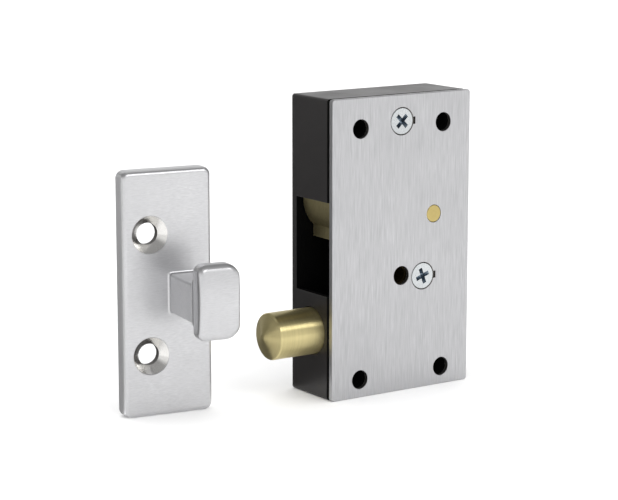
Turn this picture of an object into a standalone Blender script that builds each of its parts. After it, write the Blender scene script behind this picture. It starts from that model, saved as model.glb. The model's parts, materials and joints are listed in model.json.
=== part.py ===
"""Surface-mounted hook latch with a sprung plunger, and its separate keeper.

Metres, +Z up. The origin is the centre of the case's back face, which lies
against the door. -Y looks out of the door, and the keeper comes in from -X.
Places inside the case are given from its left side, its bottom and its front
rim, and place() turns them into the frame.
"""

from math import acos, asin, cos, pi, radians, sin

import bmesh
import bpy
from mathutils import Matrix, Vector

# Case and front plate
CASE_WIDTH = 0.05715
CASE_HEIGHT = 0.1016
CASE_DEPTH = 0.0222
WALL = 0.002
CORNER_RADIUS = 0.0010
PLATE_THICKNESS = 0.0019
GAP = 0.0003
RUNNING_CLEARANCE = 0.00008
END_INSET = 0.0001
SCREW_INSET = 0.00005

# Mounting bolts: two columns about the middle, two rows from the bottom
BOLT_COLUMNS = (CASE_WIDTH / 2 - 0.01715, CASE_WIDTH / 2 + 0.01715)
BOLT_ROWS = (0.0062, 0.0913)
BOLT_HOLE_RADIUS = 0.0032
BOSS_RADIUS = 0.0044

# Slot for the keeper, in the left wall
SLOT_BOTTOM = 0.0354
SLOT_TOP = 0.0672
SLOT_DEPTH = 0.0194

# Cover screws and the pillars that take them
SCREW_TOP = (0.0283, 0.0927)
SCREW_LOWER = (0.0375, 0.0390)
SCREW_HEAD_RADIUS = 0.0046
SCREW_HEAD_RIM = 0.00025
SCREW_HEAD_HEIGHT = 0.0024
SCREW_SHANK_RADIUS = 0.00225
SCREW_LENGTH = 0.0125
SCREW_TAPER = 0.0006
RECESS_REACH = 0.0028
RECESS_HALF_WIDTH = 0.0006
RECESS_DEPTH = 0.0016
PILLAR_RADIUS = 0.0039
PILLAR_BORE_RADIUS = 0.0025
PILLAR_BORE_DEPTH = 0.0140
RIVET_RADIUS = 0.0020
REAR_CLEAR = CASE_DEPTH - WALL - GAP
FRONT_CLEAR = 0.0006

# Latch lever and its pivot
PIVOT = (0.0421, 0.0601)
PIVOT_RADIUS = 0.00295
LEVER_FRONT = 0.0022
LEVER_BACK = 0.0192
ARM_FRONT = 0.0060
ARM_BACK = 0.0150
ARM_START = 0.0200
LEVER_HUB_RADIUS = 0.0080
SPACER_RADIUS = 0.0050
ANCHOR = (0.0508, 0.0760)
STOP = (0.0500, 0.0664)
SMALL_PIN_RADIUS = 0.0018

# Torsion spring on the front spacer
RETURN_COIL_RADIUS = 0.0062
RETURN_WIRE_RADIUS = 0.0004
RETURN_PITCH = 0.0009
RETURN_DEPTH = 0.0016
RETURN_END_ANGLE = radians(-150 - 3 * 360)

# Plunger
PLUNGER_HEIGHT = 0.0223
PLUNGER_DEPTH = 0.0109
PLUNGER_RADIUS = 0.00794
PLUNGER_APEX = -0.0194
PLUNGER_CONE = 0.0026
PLUNGER_TIP_RADIUS = 0.0016
PLUNGER_TIP_FALL = 0.0002
PLUNGER_TAIL = 0.0340
PLUNGER_BORE_RADIUS = 0.0052
PLUNGER_BORE_END = -0.0100
RING_PLACE = 0.0026
RING_WIDTH = 0.0010
RING_PLAY = 0.0001
RING_RADIUS = 0.0089
RING_GROOVE_RADIUS = 0.0072
GUIDE_LEFT = 0.0240
GUIDE_RIGHT = 0.0310
GUIDE_BOTTOM = 0.0105
GUIDE_TOP = 0.0341
GUIDE_SCREW_ROWS = (0.0124, 0.0322)
GUIDE_SCREW_RADIUS = 0.0012
GUIDE_SCREW_HEAD = 0.0026
GUIDE_SCREW_RIM = 0.0001
GUIDE_SCREW_CONE = 0.0014
GUIDE_SCREW_LENGTH = 0.0085
GUIDE_SCREW_BORE = 0.0100
GUIDE_SLOT_HALF_WIDTH = 0.0003
GUIDE_SLOT_DEPTH = 0.0007
GUIDE_FRONT = 0.0008
ROD_RADIUS = 0.0025
ROD_START = 0.0200
ROD_FLANGE = 0.0010
PLUNGER_COIL_RADIUS = 0.0040
PLUNGER_WIRE_RADIUS = 0.0005
PLUNGER_TURNS = 11

# Release hub
HUB = (0.0285, 0.0401)
HUB_RADIUS = 0.0046
HUB_FRONT_RADIUS = 0.0039
HUB_REAR_RADIUS = 0.0040
HUB_REACH = 0.0085
HUB_TIP_RADIUS = 0.0020
CAM_INSET = 0.0010
HUB_REST_ANGLE = radians(155)
HUB_SOCKET_RADIUS = 0.0031
HUB_SOCKET_DEPTH = 0.0068
TAILPIECE_SLOT = (0.0019, 0.0058)

# Keeper: a plate with a stem and a crowned head, standing left of the case
KEEPER_WIDTH = 0.0310
KEEPER_HEIGHT = 0.0811
KEEPER_THICKNESS = 0.0060
KEEPER_EDGE = 0.0011
KEEPER_CORNER = (-0.06807, 0.01787)
KEEPER_ANGLE = radians(-8.5)
KEEPER_TURN = (-0.0464, 0.0091)
STEM_LEFT = 0.0160
STEM_WIDTH = 0.0110
STEM_BOTTOM = 0.0340
STEM_HEIGHT = 0.0130
STEM_LENGTH = 0.0189
STEM_EDGE = 0.0009
HEAD_LEFT = 0.0160
HEAD_WIDTH = 0.0142
HEAD_BULGE = 0.0008
HEAD_BOTTOM = 0.0290
HEAD_HEIGHT = 0.0246
HEAD_THICKNESS = 0.0067
HEAD_CROWN = 0.0012
HEAD_CORNER_LEFT = 0.0015
HEAD_CORNER_RIGHT = 0.0045
HEAD_EDGE = 0.0012
KEEPER_HOLE_X = 0.0095
KEEPER_HOLES = (0.0202, 0.0602)
KEEPER_HOLE_RADIUS = 0.0036
KEEPER_SINK_RADIUS = 0.0065
SINK_OVERSHOOT = 0.0010

FACES_ROUND = 32
TOWARDS_FRONT = (pi / 2, 0.0, 0.0)
TOWARDS_BACK = (-pi / 2, 0.0, 0.0)
TOWARDS_LEFT = (0.0, -pi / 2, 0.0)
TOWARDS_RIGHT = (0.0, pi / 2, 0.0)

FINISHES = {
    "dark_enamel": ((0.035, 0.032, 0.033), 0.38, 0.0),
    "brushed_stainless": ((0.60, 0.60, 0.61), 0.34, 1.0),
    "zinc_plated_steel": ((0.66, 0.67, 0.70), 0.25, 1.0),
    "satin_brass": ((0.62, 0.52, 0.28), 0.32, 1.0),
    "spring_steel": ((0.32, 0.32, 0.34), 0.30, 1.0),
    "satin_chrome": ((0.62, 0.62, 0.63), 0.28, 1.0),
}


def clear_scene():
    """Removes whatever the opening file holds."""
    for old in list(bpy.data.objects):
        bpy.data.objects.remove(old, do_unlink=True)


def new_collection(name):
    """Makes a collection under the scene's own."""
    made = bpy.data.collections.new(name)
    bpy.context.scene.collection.children.link(made)
    return made


clear_scene()
PARTS = new_collection("rim_night_latch")
CUTTERS = new_collection("cutters")


def finish(name):
    """The material of one finish, made once."""
    if name in bpy.data.materials:
        return bpy.data.materials[name]
    colour, roughness, metallic = FINISHES[name]
    made = bpy.data.materials.new(name)
    made.use_nodes = True
    shader = made.node_tree.nodes["Principled BSDF"]
    shader.inputs["Base Color"].default_value = (*colour, 1.0)
    shader.inputs["Roughness"].default_value = roughness
    shader.inputs["Metallic"].default_value = metallic
    return made


def place(from_left, from_bottom, depth=0.0):
    """A point given from the case's left side, bottom and front rim."""
    return Vector((from_left - CASE_WIDTH / 2, depth - CASE_DEPTH, from_bottom - CASE_HEIGHT / 2))


def add_object(name, mesh, surface=None):
    """Links a mesh as a part with its finish, or as a cutter without one."""
    made = bpy.data.objects.new(name, mesh)
    if surface:
        PARTS.objects.link(made)
        mesh.materials.append(finish(surface))
    else:
        CUTTERS.objects.link(made)
        made.hide_render = True
        made.display_type = "WIRE"
    return made


def add_box(name, low, high, surface=None):
    """A box between two corners."""
    low, high = Vector(low), Vector(high)
    shape = bmesh.new()
    bmesh.ops.create_cube(shape, size=1.0)
    bmesh.ops.scale(shape, vec=high - low, verts=shape.verts)
    mesh = bpy.data.meshes.new(name)
    shape.to_mesh(mesh)
    shape.free()
    made = add_object(name, mesh, surface)
    made.location = (low + high) / 2
    return made


def add_cylinder(name, radius, length, origin, facing, surface=None, far_radius=None, faces=FACES_ROUND):
    """A cylinder or cone that starts at origin and runs length the way it faces."""
    shape = bmesh.new()
    end_radius = radius if far_radius is None else far_radius
    bmesh.ops.create_cone(shape, cap_ends=True, segments=faces, radius1=radius,
                          radius2=end_radius, depth=length)
    bmesh.ops.translate(shape, vec=(0, 0, length / 2), verts=shape.verts)
    mesh = bpy.data.meshes.new(name)
    shape.to_mesh(mesh)
    shape.free()
    made = add_object(name, mesh, surface)
    made.location = origin
    made.rotation_euler = facing
    shade_round(mesh)
    return made


def shade_round(mesh):
    """Smooth shading with sharp edges left where faces meet steeply."""
    mesh.shade_smooth()
    mesh.set_sharp_from_angle(angle=radians(35))


def add_turned(name, profile, origin, facing, surface=None, faces=FACES_ROUND, closed=False):
    """Turns a (radius, height) profile, outer side top to bottom, about its own Z."""
    mesh = bpy.data.meshes.new(name)
    count = len(profile)
    edges = [(i, i + 1) for i in range(count - 1)]
    if closed:
        edges.append((count - 1, 0))
    mesh.from_pydata([(radius, 0.0, height) for radius, height in profile], edges, [])
    made = add_object(name, mesh, surface)
    made.location = origin
    made.rotation_euler = facing
    screw = made.modifiers.new("turn", "SCREW")
    screw.axis = "Z"
    screw.steps = faces
    screw.render_steps = faces
    screw.use_merge_vertices = True
    screw.merge_threshold = 0.00001
    return made


def add_sleeve(name, outer, inner, length, origin, facing, surface):
    """A plain tube that starts at origin and runs length the way it faces."""
    profile = [(outer, length), (outer, 0.0), (inner, 0.0), (inner, length)]
    return add_turned(name, profile, origin, facing, surface, closed=True)


def arc(centre, radius, start, end, steps):
    """Points along an arc, from one angle to another, in degrees."""
    angles = [radians(start + (end - start) * i / steps) for i in range(steps + 1)]
    return [(centre[0] + radius * cos(a), centre[1] + radius * sin(a)) for a in angles]


def rounded_rectangle(low, high, radius, steps=4):
    """Outline of a rectangle with round corners."""
    corners = ((low[0], low[1], 180), (high[0], low[1], 270), (high[0], high[1], 0), (low[0], high[1], 90))
    outline = []
    for x, z, start in corners:
        centre = (min(max(x, low[0] + radius), high[0] - radius),
                  min(max(z, low[1] + radius), high[1] - radius))
        outline += arc(centre, radius, start, start + 90, steps)
    return outline


def add_outline(name, outline, front, back, origin, surface=None):
    """A flat outline in X and Z, as thick as the stretch of Y from front to back."""
    curve = bpy.data.curves.new(name, "CURVE")
    curve.dimensions = "2D"
    curve.fill_mode = "BOTH"
    curve.extrude = (back - front) / 2
    spline = curve.splines.new("POLY")
    spline.points.add(len(outline) - 1)
    for point, (x, z) in zip(spline.points, outline):
        point.co = (x, z, 0.0, 1.0)
    spline.use_cyclic_u = True
    source = bpy.data.objects.new(name + "_curve", curve)
    PARTS.objects.link(source)
    mesh = mesh_of_curve(source, name)
    mesh.transform(Matrix.Translation((0, (front + back) / 2, 0)) @ Matrix.Rotation(pi / 2, 4, "X"))
    made = add_object(name, mesh, surface)
    made.location = origin
    return made


def mesh_of_curve(source, name):
    """The welded mesh of a curve object, which is then removed."""
    bpy.context.view_layer.update()
    ready = source.evaluated_get(bpy.context.evaluated_depsgraph_get())
    mesh = bpy.data.meshes.new_from_object(ready)
    mesh.name = name
    shape = bmesh.new()
    shape.from_mesh(mesh)
    bmesh.ops.remove_doubles(shape, verts=shape.verts, dist=0.000001)
    bmesh.ops.recalc_face_normals(shape, faces=shape.faces)
    shape.to_mesh(mesh)
    shape.free()
    bpy.data.objects.remove(source, do_unlink=True)
    return mesh


def add_wire(name, route, radius, surface):
    """A round wire along a route, as a curve with filled ends."""
    curve = bpy.data.curves.new(name, "CURVE")
    curve.dimensions = "3D"
    curve.bevel_depth = radius
    curve.bevel_resolution = 2
    curve.use_fill_caps = True
    spline = curve.splines.new("POLY")
    spline.points.add(len(route) - 1)
    for point, spot in zip(spline.points, route):
        point.co = (*spot, 1.0)
    made = bpy.data.objects.new(name, curve)
    PARTS.objects.link(made)
    curve.materials.append(finish(surface))
    return made


def boolean(part, tool, operation):
    """Cuts or joins one piece with a tool, which stays among the cutters."""
    change = part.modifiers.new(tool.name, "BOOLEAN")
    change.operation = operation
    change.solver = "EXACT"
    change.object = tool


def cut(part, tool):
    """Takes the tool's shape out of the part."""
    boolean(part, tool, "DIFFERENCE")


def join(part, tool):
    """Adds the tool's shape to the part."""
    boolean(part, tool, "UNION")


def build_case():
    """The cast case: five walls, corner bosses, slot and the holes for what it holds."""
    outline = rounded_rectangle((0, 0), (CASE_WIDTH, CASE_HEIGHT), CORNER_RADIUS)
    case = add_outline("case", outline, GAP, CASE_DEPTH, place(0, 0), "dark_enamel")
    hollow = rounded_rectangle((WALL, WALL), (CASE_WIDTH - WALL, CASE_HEIGHT - WALL), CORNER_RADIUS / 2)
    cut(case, add_outline("case_hollow", hollow, -WALL, CASE_DEPTH - WALL, place(0, 0)))
    for column, across in enumerate(BOLT_COLUMNS):
        for row, up in enumerate(BOLT_ROWS):
            mark = f"{column}{row}"
            start = place(across, up, CASE_DEPTH - WALL / 2)
            length = CASE_DEPTH - WALL / 2 - GAP
            join(case, add_cylinder("boss_" + mark, BOSS_RADIUS, length, start, TOWARDS_FRONT, faces=24))
            hole = place(across, up, CASE_DEPTH + WALL)
            cut(case, add_cylinder("bolt_way_" + mark, BOLT_HOLE_RADIUS, CASE_DEPTH + 2 * WALL, hole,
                                   TOWARDS_FRONT, faces=24))
    cut(case, add_box("slot_way", place(-WALL, SLOT_BOTTOM, -WALL), place(WALL * 1.5, SLOT_TOP, SLOT_DEPTH)))
    cut(case, add_cylinder("plunger_way", PLUNGER_RADIUS + 2 * RUNNING_CLEARANCE, 2 * WALL,
                           place(-WALL / 2, PLUNGER_HEIGHT, PLUNGER_DEPTH), TOWARDS_RIGHT, faces=48))
    cut(case, add_cylinder("rod_way", RIVET_RADIUS + RUNNING_CLEARANCE, 2 * WALL,
                           place(CASE_WIDTH - 1.5 * WALL, PLUNGER_HEIGHT, PLUNGER_DEPTH), TOWARDS_RIGHT))
    back_holes = {
        "pivot_way": (PIVOT, PIVOT_RADIUS),
        "hub_way": (HUB, HUB_REAR_RADIUS),
        "pillar_top_way": (SCREW_TOP, RIVET_RADIUS),
        "pillar_lower_way": (SCREW_LOWER, RIVET_RADIUS),
        "anchor_way": (ANCHOR, SMALL_PIN_RADIUS),
        "stop_way": (STOP, SMALL_PIN_RADIUS),
    }
    for name, (spot, radius) in back_holes.items():
        start = place(*spot, CASE_DEPTH + WALL)
        cut(case, add_cylinder(name, radius + RUNNING_CLEARANCE, 3 * WALL, start, TOWARDS_FRONT))
    for number, up in enumerate(GUIDE_SCREW_ROWS):
        start = place((GUIDE_LEFT + GUIDE_RIGHT) / 2, up, CASE_DEPTH + WALL)
        cut(case, add_cylinder(f"guide_screw_way_{number}", GUIDE_SCREW_RADIUS + GAP, 3 * WALL, start,
                               TOWARDS_FRONT, faces=20))
        cut(case, add_cylinder(f"guide_screw_sink_{number}", GUIDE_SCREW_HEAD + WALL + GAP, 1.7 * WALL, start,
                               TOWARDS_FRONT, far_radius=GUIDE_SCREW_RADIUS + GAP, faces=20))
    return case


def screw_sink_radius(depth):
    """The plate's countersink radius at a depth below the plate's front face."""
    slope = (SCREW_HEAD_RADIUS - SCREW_SHANK_RADIUS) / (SCREW_HEAD_HEIGHT - SCREW_HEAD_RIM)
    return SCREW_HEAD_RADIUS + GAP - slope * (depth - SCREW_HEAD_RIM)


def build_front_plate():
    """The flat cover plate, with the case's outline and seven holes."""
    outline = rounded_rectangle((0, 0), (CASE_WIDTH, CASE_HEIGHT), CORNER_RADIUS)
    plate = add_outline("front_plate", outline, -PLATE_THICKNESS, 0.0, place(0, 0), "brushed_stainless")
    holes = [(across, up, BOLT_HOLE_RADIUS) for across in BOLT_COLUMNS for up in BOLT_ROWS]
    holes += [(*HUB, BOLT_HOLE_RADIUS), (*PIVOT, PIVOT_RADIUS + RUNNING_CLEARANCE)]
    for number, (across, up, radius) in enumerate(holes):
        cut(plate, add_cylinder(f"plate_hole_{number}", radius, 4 * PLATE_THICKNESS,
                                place(across, up, PLATE_THICKNESS), TOWARDS_FRONT))
    for number, spot in enumerate((SCREW_TOP, SCREW_LOWER)):
        before = PLATE_THICKNESS
        sink = add_cylinder(f"plate_sink_{number}", screw_sink_radius(-before), 3 * PLATE_THICKNESS,
                            place(*spot, -PLATE_THICKNESS - before), TOWARDS_BACK,
                            far_radius=screw_sink_radius(2 * PLATE_THICKNESS))
        cut(plate, sink)
    return plate


def build_cover_screw(name, spot):
    """A flat-head screw with a cross recess, flush in the front plate."""
    shank_end = -SCREW_LENGTH
    profile = [(0.0, 0.0), (SCREW_HEAD_RADIUS, 0.0), (SCREW_HEAD_RADIUS, -SCREW_HEAD_RIM),
               (SCREW_SHANK_RADIUS, -SCREW_HEAD_HEIGHT), (SCREW_SHANK_RADIUS, shank_end + SCREW_TAPER),
               (SCREW_SHANK_RADIUS - SCREW_TAPER, shank_end), (0.0, shank_end)]
    front = place(*spot, -PLATE_THICKNESS + SCREW_INSET)
    screw = add_turned(name, profile, front, TOWARDS_FRONT, "zinc_plated_steel")
    wings = ((RECESS_REACH, RECESS_HALF_WIDTH), (RECESS_HALF_WIDTH, RECESS_REACH))
    for number, (half_x, half_z) in enumerate(wings):
        reach = Vector((half_x, RECESS_DEPTH, half_z))
        cut(screw, add_box(f"{name}_recess_{number}", front - reach, front + reach))
    return screw


def build_pillar(name, spot):
    """A threaded post whose riveted end sits in the case's back wall."""
    length = REAR_CLEAR - FRONT_CLEAR
    tail = -(CASE_DEPTH - END_INSET - REAR_CLEAR)
    floor = length - PILLAR_BORE_DEPTH
    profile = [(0.0, floor), (PILLAR_BORE_RADIUS, floor), (PILLAR_BORE_RADIUS, length),
               (PILLAR_RADIUS, length), (PILLAR_RADIUS, 0.0), (RIVET_RADIUS, 0.0), (RIVET_RADIUS, tail),
               (0.0, tail)]
    return add_turned(name, profile, place(*spot, REAR_CLEAR), TOWARDS_FRONT, "zinc_plated_steel")


def lever_outline():
    """The lever's outline about its pivot: nose, barb, notch, foot, hub and tail."""
    nose_low, nose_high = (0.0154, 0.0665), (0.0119, 0.0675)
    around = arc(nose_low, 0.0130, 180, 227, 8)
    lip_x = around[-1][0]
    around += [(lip_x, 0.0530), (0.0112, 0.0530), (0.0112, 0.0652), (0.0192, 0.0652), (0.0192, 0.0554)]
    around += [(0.0227, 0.0463), (0.0315, 0.0463)]
    around += arc(PIVOT, LEVER_HUB_RADIUS, 232, 318, 7)
    around += [(0.0524, 0.0562), (0.0524, 0.0640), (0.0482, 0.0640)]
    around += arc(PIVOT, LEVER_HUB_RADIUS, 46, 100, 5)
    around += [(0.0200, 0.0770)]
    around += arc(nose_high, 0.0095, 90, 180, 10)
    return [(x - PIVOT[0], z - PIVOT[1]) for x, z in around]


def build_latch_lever():
    """The cast hook lever: a thick nose on a thinner arm, bored for its pin."""
    pivot = place(*PIVOT)
    lever = add_outline("latch_lever", lever_outline(), LEVER_FRONT, LEVER_BACK, pivot, "satin_brass")
    for name, front, back in (("arm_front", 0.0, ARM_FRONT), ("arm_back", ARM_BACK, CASE_DEPTH)):
        cut(lever, add_box(name, place(ARM_START, SLOT_BOTTOM, front), place(CASE_WIDTH, CASE_HEIGHT, back)))
    cut(lever, add_cylinder("lever_bore", PIVOT_RADIUS + RUNNING_CLEARANCE, CASE_DEPTH,
                            place(*PIVOT, CASE_DEPTH), TOWARDS_FRONT))
    return lever


def build_pivot():
    """The pin through plate and case, with a sleeve on each side of the lever."""
    length = CASE_DEPTH - END_INSET + PLATE_THICKNESS - SCREW_INSET
    add_cylinder("lever_pivot_pin", PIVOT_RADIUS, length, place(*PIVOT, CASE_DEPTH - END_INSET),
                 TOWARDS_FRONT, "satin_brass")
    bore = PIVOT_RADIUS + RUNNING_CLEARANCE
    add_sleeve("lever_spacer_front", SPACER_RADIUS, bore, ARM_FRONT - GAP - FRONT_CLEAR,
               place(*PIVOT, ARM_FRONT - GAP), TOWARDS_FRONT, "zinc_plated_steel")
    add_sleeve("lever_spacer_rear", SPACER_RADIUS, bore, REAR_CLEAR - ARM_BACK - GAP,
               place(*PIVOT, REAR_CLEAR), TOWARDS_FRONT, "zinc_plated_steel")


def build_small_pins():
    """The spring's anchor and the lever's rest stop, both set in the back wall."""
    for name, spot, front in (("spring_anchor_pin", ANCHOR, 0.0015), ("lever_stop_pin", STOP, 0.0050)):
        add_cylinder(name, SMALL_PIN_RADIUS, CASE_DEPTH - END_INSET - front,
                     place(*spot, CASE_DEPTH - END_INSET), TOWARDS_FRONT, "zinc_plated_steel", faces=20)


def build_return_spring():
    """A torsion spring round the front spacer, from its anchor to the arm's top edge."""
    centre = place(*PIVOT)
    turns = -RETURN_END_ANGLE / (2 * pi)
    steps = int(turns * 16)
    down = PIVOT[0] + RETURN_COIL_RADIUS
    route = [place(ANCHOR[0] + 0.0010, ANCHOR[1] + 0.0025, RETURN_DEPTH),
             place(ANCHOR[0] - 0.0012, ANCHOR[1] + 0.0024, RETURN_DEPTH),
             place(down, ANCHOR[1] + 0.0012, RETURN_DEPTH)]
    for i in range(steps + 1):
        angle = RETURN_END_ANGLE * i / steps
        depth = RETURN_DEPTH + RETURN_PITCH * turns * i / steps
        across, up = RETURN_COIL_RADIUS * cos(angle), RETURN_COIL_RADIUS * sin(angle)
        route.append(centre + Vector((across, depth, up)))
    last = RETURN_DEPTH + RETURN_PITCH * turns
    route += [place(0.0268, 0.0748, last), place(0.0260, 0.0764, last + 0.0006),
              place(0.0257, 0.0770, last + 0.0022), place(0.0257, 0.0770, ARM_BACK - 0.0020)]
    return add_wire("lever_return_spring", route, RETURN_WIRE_RADIUS, "spring_steel")


def build_plunger():
    """The round bolt with a blunt cone, hollow from its tail, and its retaining ring."""
    origin = place(0, PLUNGER_HEIGHT, PLUNGER_DEPTH)
    cone = -PLUNGER_APEX - PLUNGER_CONE
    groove_low, groove_high = -RING_PLACE - RING_WIDTH - RING_PLAY, -RING_PLACE + RING_PLAY
    profile = [(0.0, -PLUNGER_APEX), (PLUNGER_TIP_RADIUS, -PLUNGER_APEX - PLUNGER_TIP_FALL),
               (PLUNGER_RADIUS, cone), (PLUNGER_RADIUS, groove_high), (RING_GROOVE_RADIUS, groove_high),
               (RING_GROOVE_RADIUS, groove_low), (PLUNGER_RADIUS, groove_low),
               (PLUNGER_RADIUS, -PLUNGER_TAIL), (PLUNGER_BORE_RADIUS, -PLUNGER_TAIL),
               (PLUNGER_BORE_RADIUS, -PLUNGER_BORE_END), (0.0, -PLUNGER_BORE_END)]
    add_turned("plunger", profile, origin, TOWARDS_LEFT, "satin_brass", faces=48)
    add_sleeve("plunger_ring", RING_RADIUS, RING_GROOVE_RADIUS + RUNNING_CLEARANCE, RING_WIDTH,
               place(RING_PLACE + RING_WIDTH, PLUNGER_HEIGHT, PLUNGER_DEPTH), TOWARDS_LEFT, "spring_steel")


def build_plunger_guide():
    """The block that guides the plunger's tail, and the two screws that hold it."""
    guide = add_box("plunger_guide", place(GUIDE_LEFT, GUIDE_BOTTOM, GUIDE_FRONT),
                    place(GUIDE_RIGHT, GUIDE_TOP, REAR_CLEAR), "zinc_plated_steel")
    width = GUIDE_RIGHT - GUIDE_LEFT
    start = place(GUIDE_LEFT - width, PLUNGER_HEIGHT, PLUNGER_DEPTH)
    cut(guide, add_cylinder("guide_way", PLUNGER_RADIUS + RUNNING_CLEARANCE, 3 * width, start,
                            TOWARDS_RIGHT, faces=48))
    profile = [(0.0, 0.0), (GUIDE_SCREW_HEAD, 0.0), (GUIDE_SCREW_HEAD, -GUIDE_SCREW_RIM),
               (GUIDE_SCREW_RADIUS, -GUIDE_SCREW_CONE), (GUIDE_SCREW_RADIUS, -GUIDE_SCREW_LENGTH),
               (0.0, -GUIDE_SCREW_LENGTH)]
    for name, up in zip(("guide_screw_lower", "guide_screw_upper"), GUIDE_SCREW_ROWS):
        spot = (GUIDE_LEFT + width / 2, up)
        cut(guide, add_cylinder(name + "_bore", GUIDE_SCREW_RADIUS + RUNNING_CLEARANCE, GUIDE_SCREW_BORE,
                                place(*spot, CASE_DEPTH), TOWARDS_FRONT, faces=20))
        back = place(*spot, CASE_DEPTH - SCREW_INSET)
        screw = add_turned(name, profile, back, TOWARDS_BACK, "zinc_plated_steel", faces=20)
        reach = Vector((2 * GUIDE_SCREW_HEAD, GUIDE_SLOT_DEPTH, GUIDE_SLOT_HALF_WIDTH))
        cut(screw, add_box(name + "_slot", back - reach, back + reach))


def build_guide_rod():
    """The rod inside the plunger's spring, its flange against the right wall."""
    flange_front = CASE_WIDTH - WALL - GAP - ROD_FLANGE
    tail = CASE_WIDTH - END_INSET - flange_front
    profile = [(0.0, flange_front - ROD_START), (ROD_RADIUS, flange_front - ROD_START), (ROD_RADIUS, 0.0),
               (2 * ROD_RADIUS, 0.0), (2 * ROD_RADIUS, -ROD_FLANGE), (RIVET_RADIUS, -ROD_FLANGE),
               (RIVET_RADIUS, -tail), (0.0, -tail)]
    return add_turned("guide_rod", profile, place(flange_front, PLUNGER_HEIGHT, PLUNGER_DEPTH),
                      TOWARDS_LEFT, "zinc_plated_steel")


def build_plunger_spring():
    """The compression spring between the plunger's bore and the rod's flange."""
    start = PLUNGER_BORE_END + GAP + PLUNGER_WIRE_RADIUS
    end = CASE_WIDTH - WALL - GAP - ROD_FLANGE - GAP - PLUNGER_WIRE_RADIUS
    steps = PLUNGER_TURNS * 12
    route = []
    for i in range(steps + 1):
        angle = 2 * pi * PLUNGER_TURNS * i / steps
        spot = place(start + (end - start) * i / steps, PLUNGER_HEIGHT, PLUNGER_DEPTH)
        route.append(spot + Vector((0, PLUNGER_COIL_RADIUS * cos(angle), PLUNGER_COIL_RADIUS * sin(angle))))
    return add_wire("plunger_spring", route, PLUNGER_WIRE_RADIUS, "spring_steel")


def cam_outline():
    """The cam: the hub's circle and a small tip circle in one convex outline."""
    spread = acos((HUB_RADIUS - HUB_TIP_RADIUS) / HUB_REACH) * 180 / pi
    turn = HUB_REST_ANGLE * 180 / pi
    tip = (HUB_REACH * cos(HUB_REST_ANGLE), HUB_REACH * sin(HUB_REST_ANGLE))
    outline = arc(tip, HUB_TIP_RADIUS, turn - spread, turn + spread, 8)
    return outline + arc((0.0, 0.0), HUB_RADIUS, turn + spread, turn + 360 - spread, 18)


def build_release_hub():
    """The hub that a cylinder's tailpiece turns, with the cam that lifts the lever."""
    origin = place(*HUB)
    back, front = CASE_DEPTH - 2 * END_INSET, FRONT_CLEAR
    profile = [(0.0, -HUB_SOCKET_DEPTH), (HUB_SOCKET_RADIUS, -HUB_SOCKET_DEPTH), (HUB_SOCKET_RADIUS, -front),
               (HUB_FRONT_RADIUS, -front), (HUB_FRONT_RADIUS, -ARM_FRONT), (HUB_RADIUS, -ARM_FRONT),
               (HUB_RADIUS, -REAR_CLEAR), (HUB_REAR_RADIUS, -REAR_CLEAR), (HUB_REAR_RADIUS, -back),
               (0.0, -back)]
    hub = add_turned("release_hub", profile, origin, TOWARDS_FRONT, "satin_brass")
    cam = add_outline("hub_cam", cam_outline(), ARM_FRONT + CAM_INSET, ARM_BACK - CAM_INSET, origin)
    join(hub, cam)
    half_x, half_z = TAILPIECE_SLOT[0] / 2, TAILPIECE_SLOT[1] / 2
    cut(hub, add_box("tailpiece_slot", origin + Vector((-half_x, -WALL, -half_z)),
                     origin + Vector((half_x, CASE_DEPTH + WALL, half_z))))
    return hub


def head_outline():
    """The keeper head seen from the front: straight left side, round and bulging right side."""
    left, right = HEAD_LEFT, HEAD_LEFT + HEAD_WIDTH
    low, high, half = HEAD_BOTTOM, HEAD_BOTTOM + HEAD_HEIGHT, HEAD_HEIGHT / 2
    near, far = HEAD_CORNER_LEFT, HEAD_CORNER_RIGHT
    outline = arc((left + near, low + near), near, 180, 270, 3)
    outline += arc((right - far, low + far), far, 270, 360, 6) + [(right, low + half)]
    outline += arc((right - far, high - far), far, 0, 90, 6)
    outline += arc((left + near, high - near), near, 90, 180, 3)
    spread = [(x - left) / HEAD_WIDTH * (1 - ((z - low) / half - 1) ** 2) for x, z in outline]
    return [(x + HEAD_BULGE * share, z) for (x, z), share in zip(outline, spread)]


def crown_outline():
    """The head seen from its side, in Y and Z: flat back, and a front that falls back at both ends."""
    half = HEAD_HEIGHT / 2
    radius = (half * half + HEAD_CROWN * HEAD_CROWN) / (2 * HEAD_CROWN)
    spread = asin(half / radius) * 180 / pi
    front = -STEM_LENGTH - HEAD_THICKNESS
    outline = arc((front + radius, HEAD_BOTTOM + half), radius, 180 - spread, 180 + spread, 8)
    return outline + [(-STEM_LENGTH, HEAD_BOTTOM), (-STEM_LENGTH, HEAD_BOTTOM + HEAD_HEIGHT)]


def build_head():
    """The head as what its front, side and top outlines have in common."""
    head = add_outline("keeper_head", head_outline(), -STEM_LENGTH - 2 * HEAD_THICKNESS,
                       -STEM_LENGTH + HEAD_THICKNESS, (0, 0, 0))
    side = add_outline("keeper_head_side", crown_outline(), -2 * KEEPER_WIDTH, 0.0, (0, 0, 0))
    side.rotation_euler = (0.0, 0.0, pi / 2)
    right, front = HEAD_LEFT + HEAD_WIDTH + HEAD_BULGE, STEM_LENGTH + HEAD_THICKNESS
    plan = rounded_rectangle((HEAD_LEFT, STEM_LENGTH), (right, front), HEAD_EDGE)
    top = add_outline("keeper_head_top", plan, 0.0, KEEPER_HEIGHT, (0, 0, 0))
    top.rotation_euler = (pi / 2, 0.0, 0.0)
    boolean(head, side, "INTERSECT")
    boolean(head, top, "INTERSECT")
    return head, side, top


def soften(part, width, segments):
    """Rounds the part's steep edges."""
    bevel = part.modifiers.new("soften", "BEVEL")
    bevel.width = width
    bevel.segments = segments
    bevel.limit_method = "ANGLE"
    bevel.angle_limit = radians(50)


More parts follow.
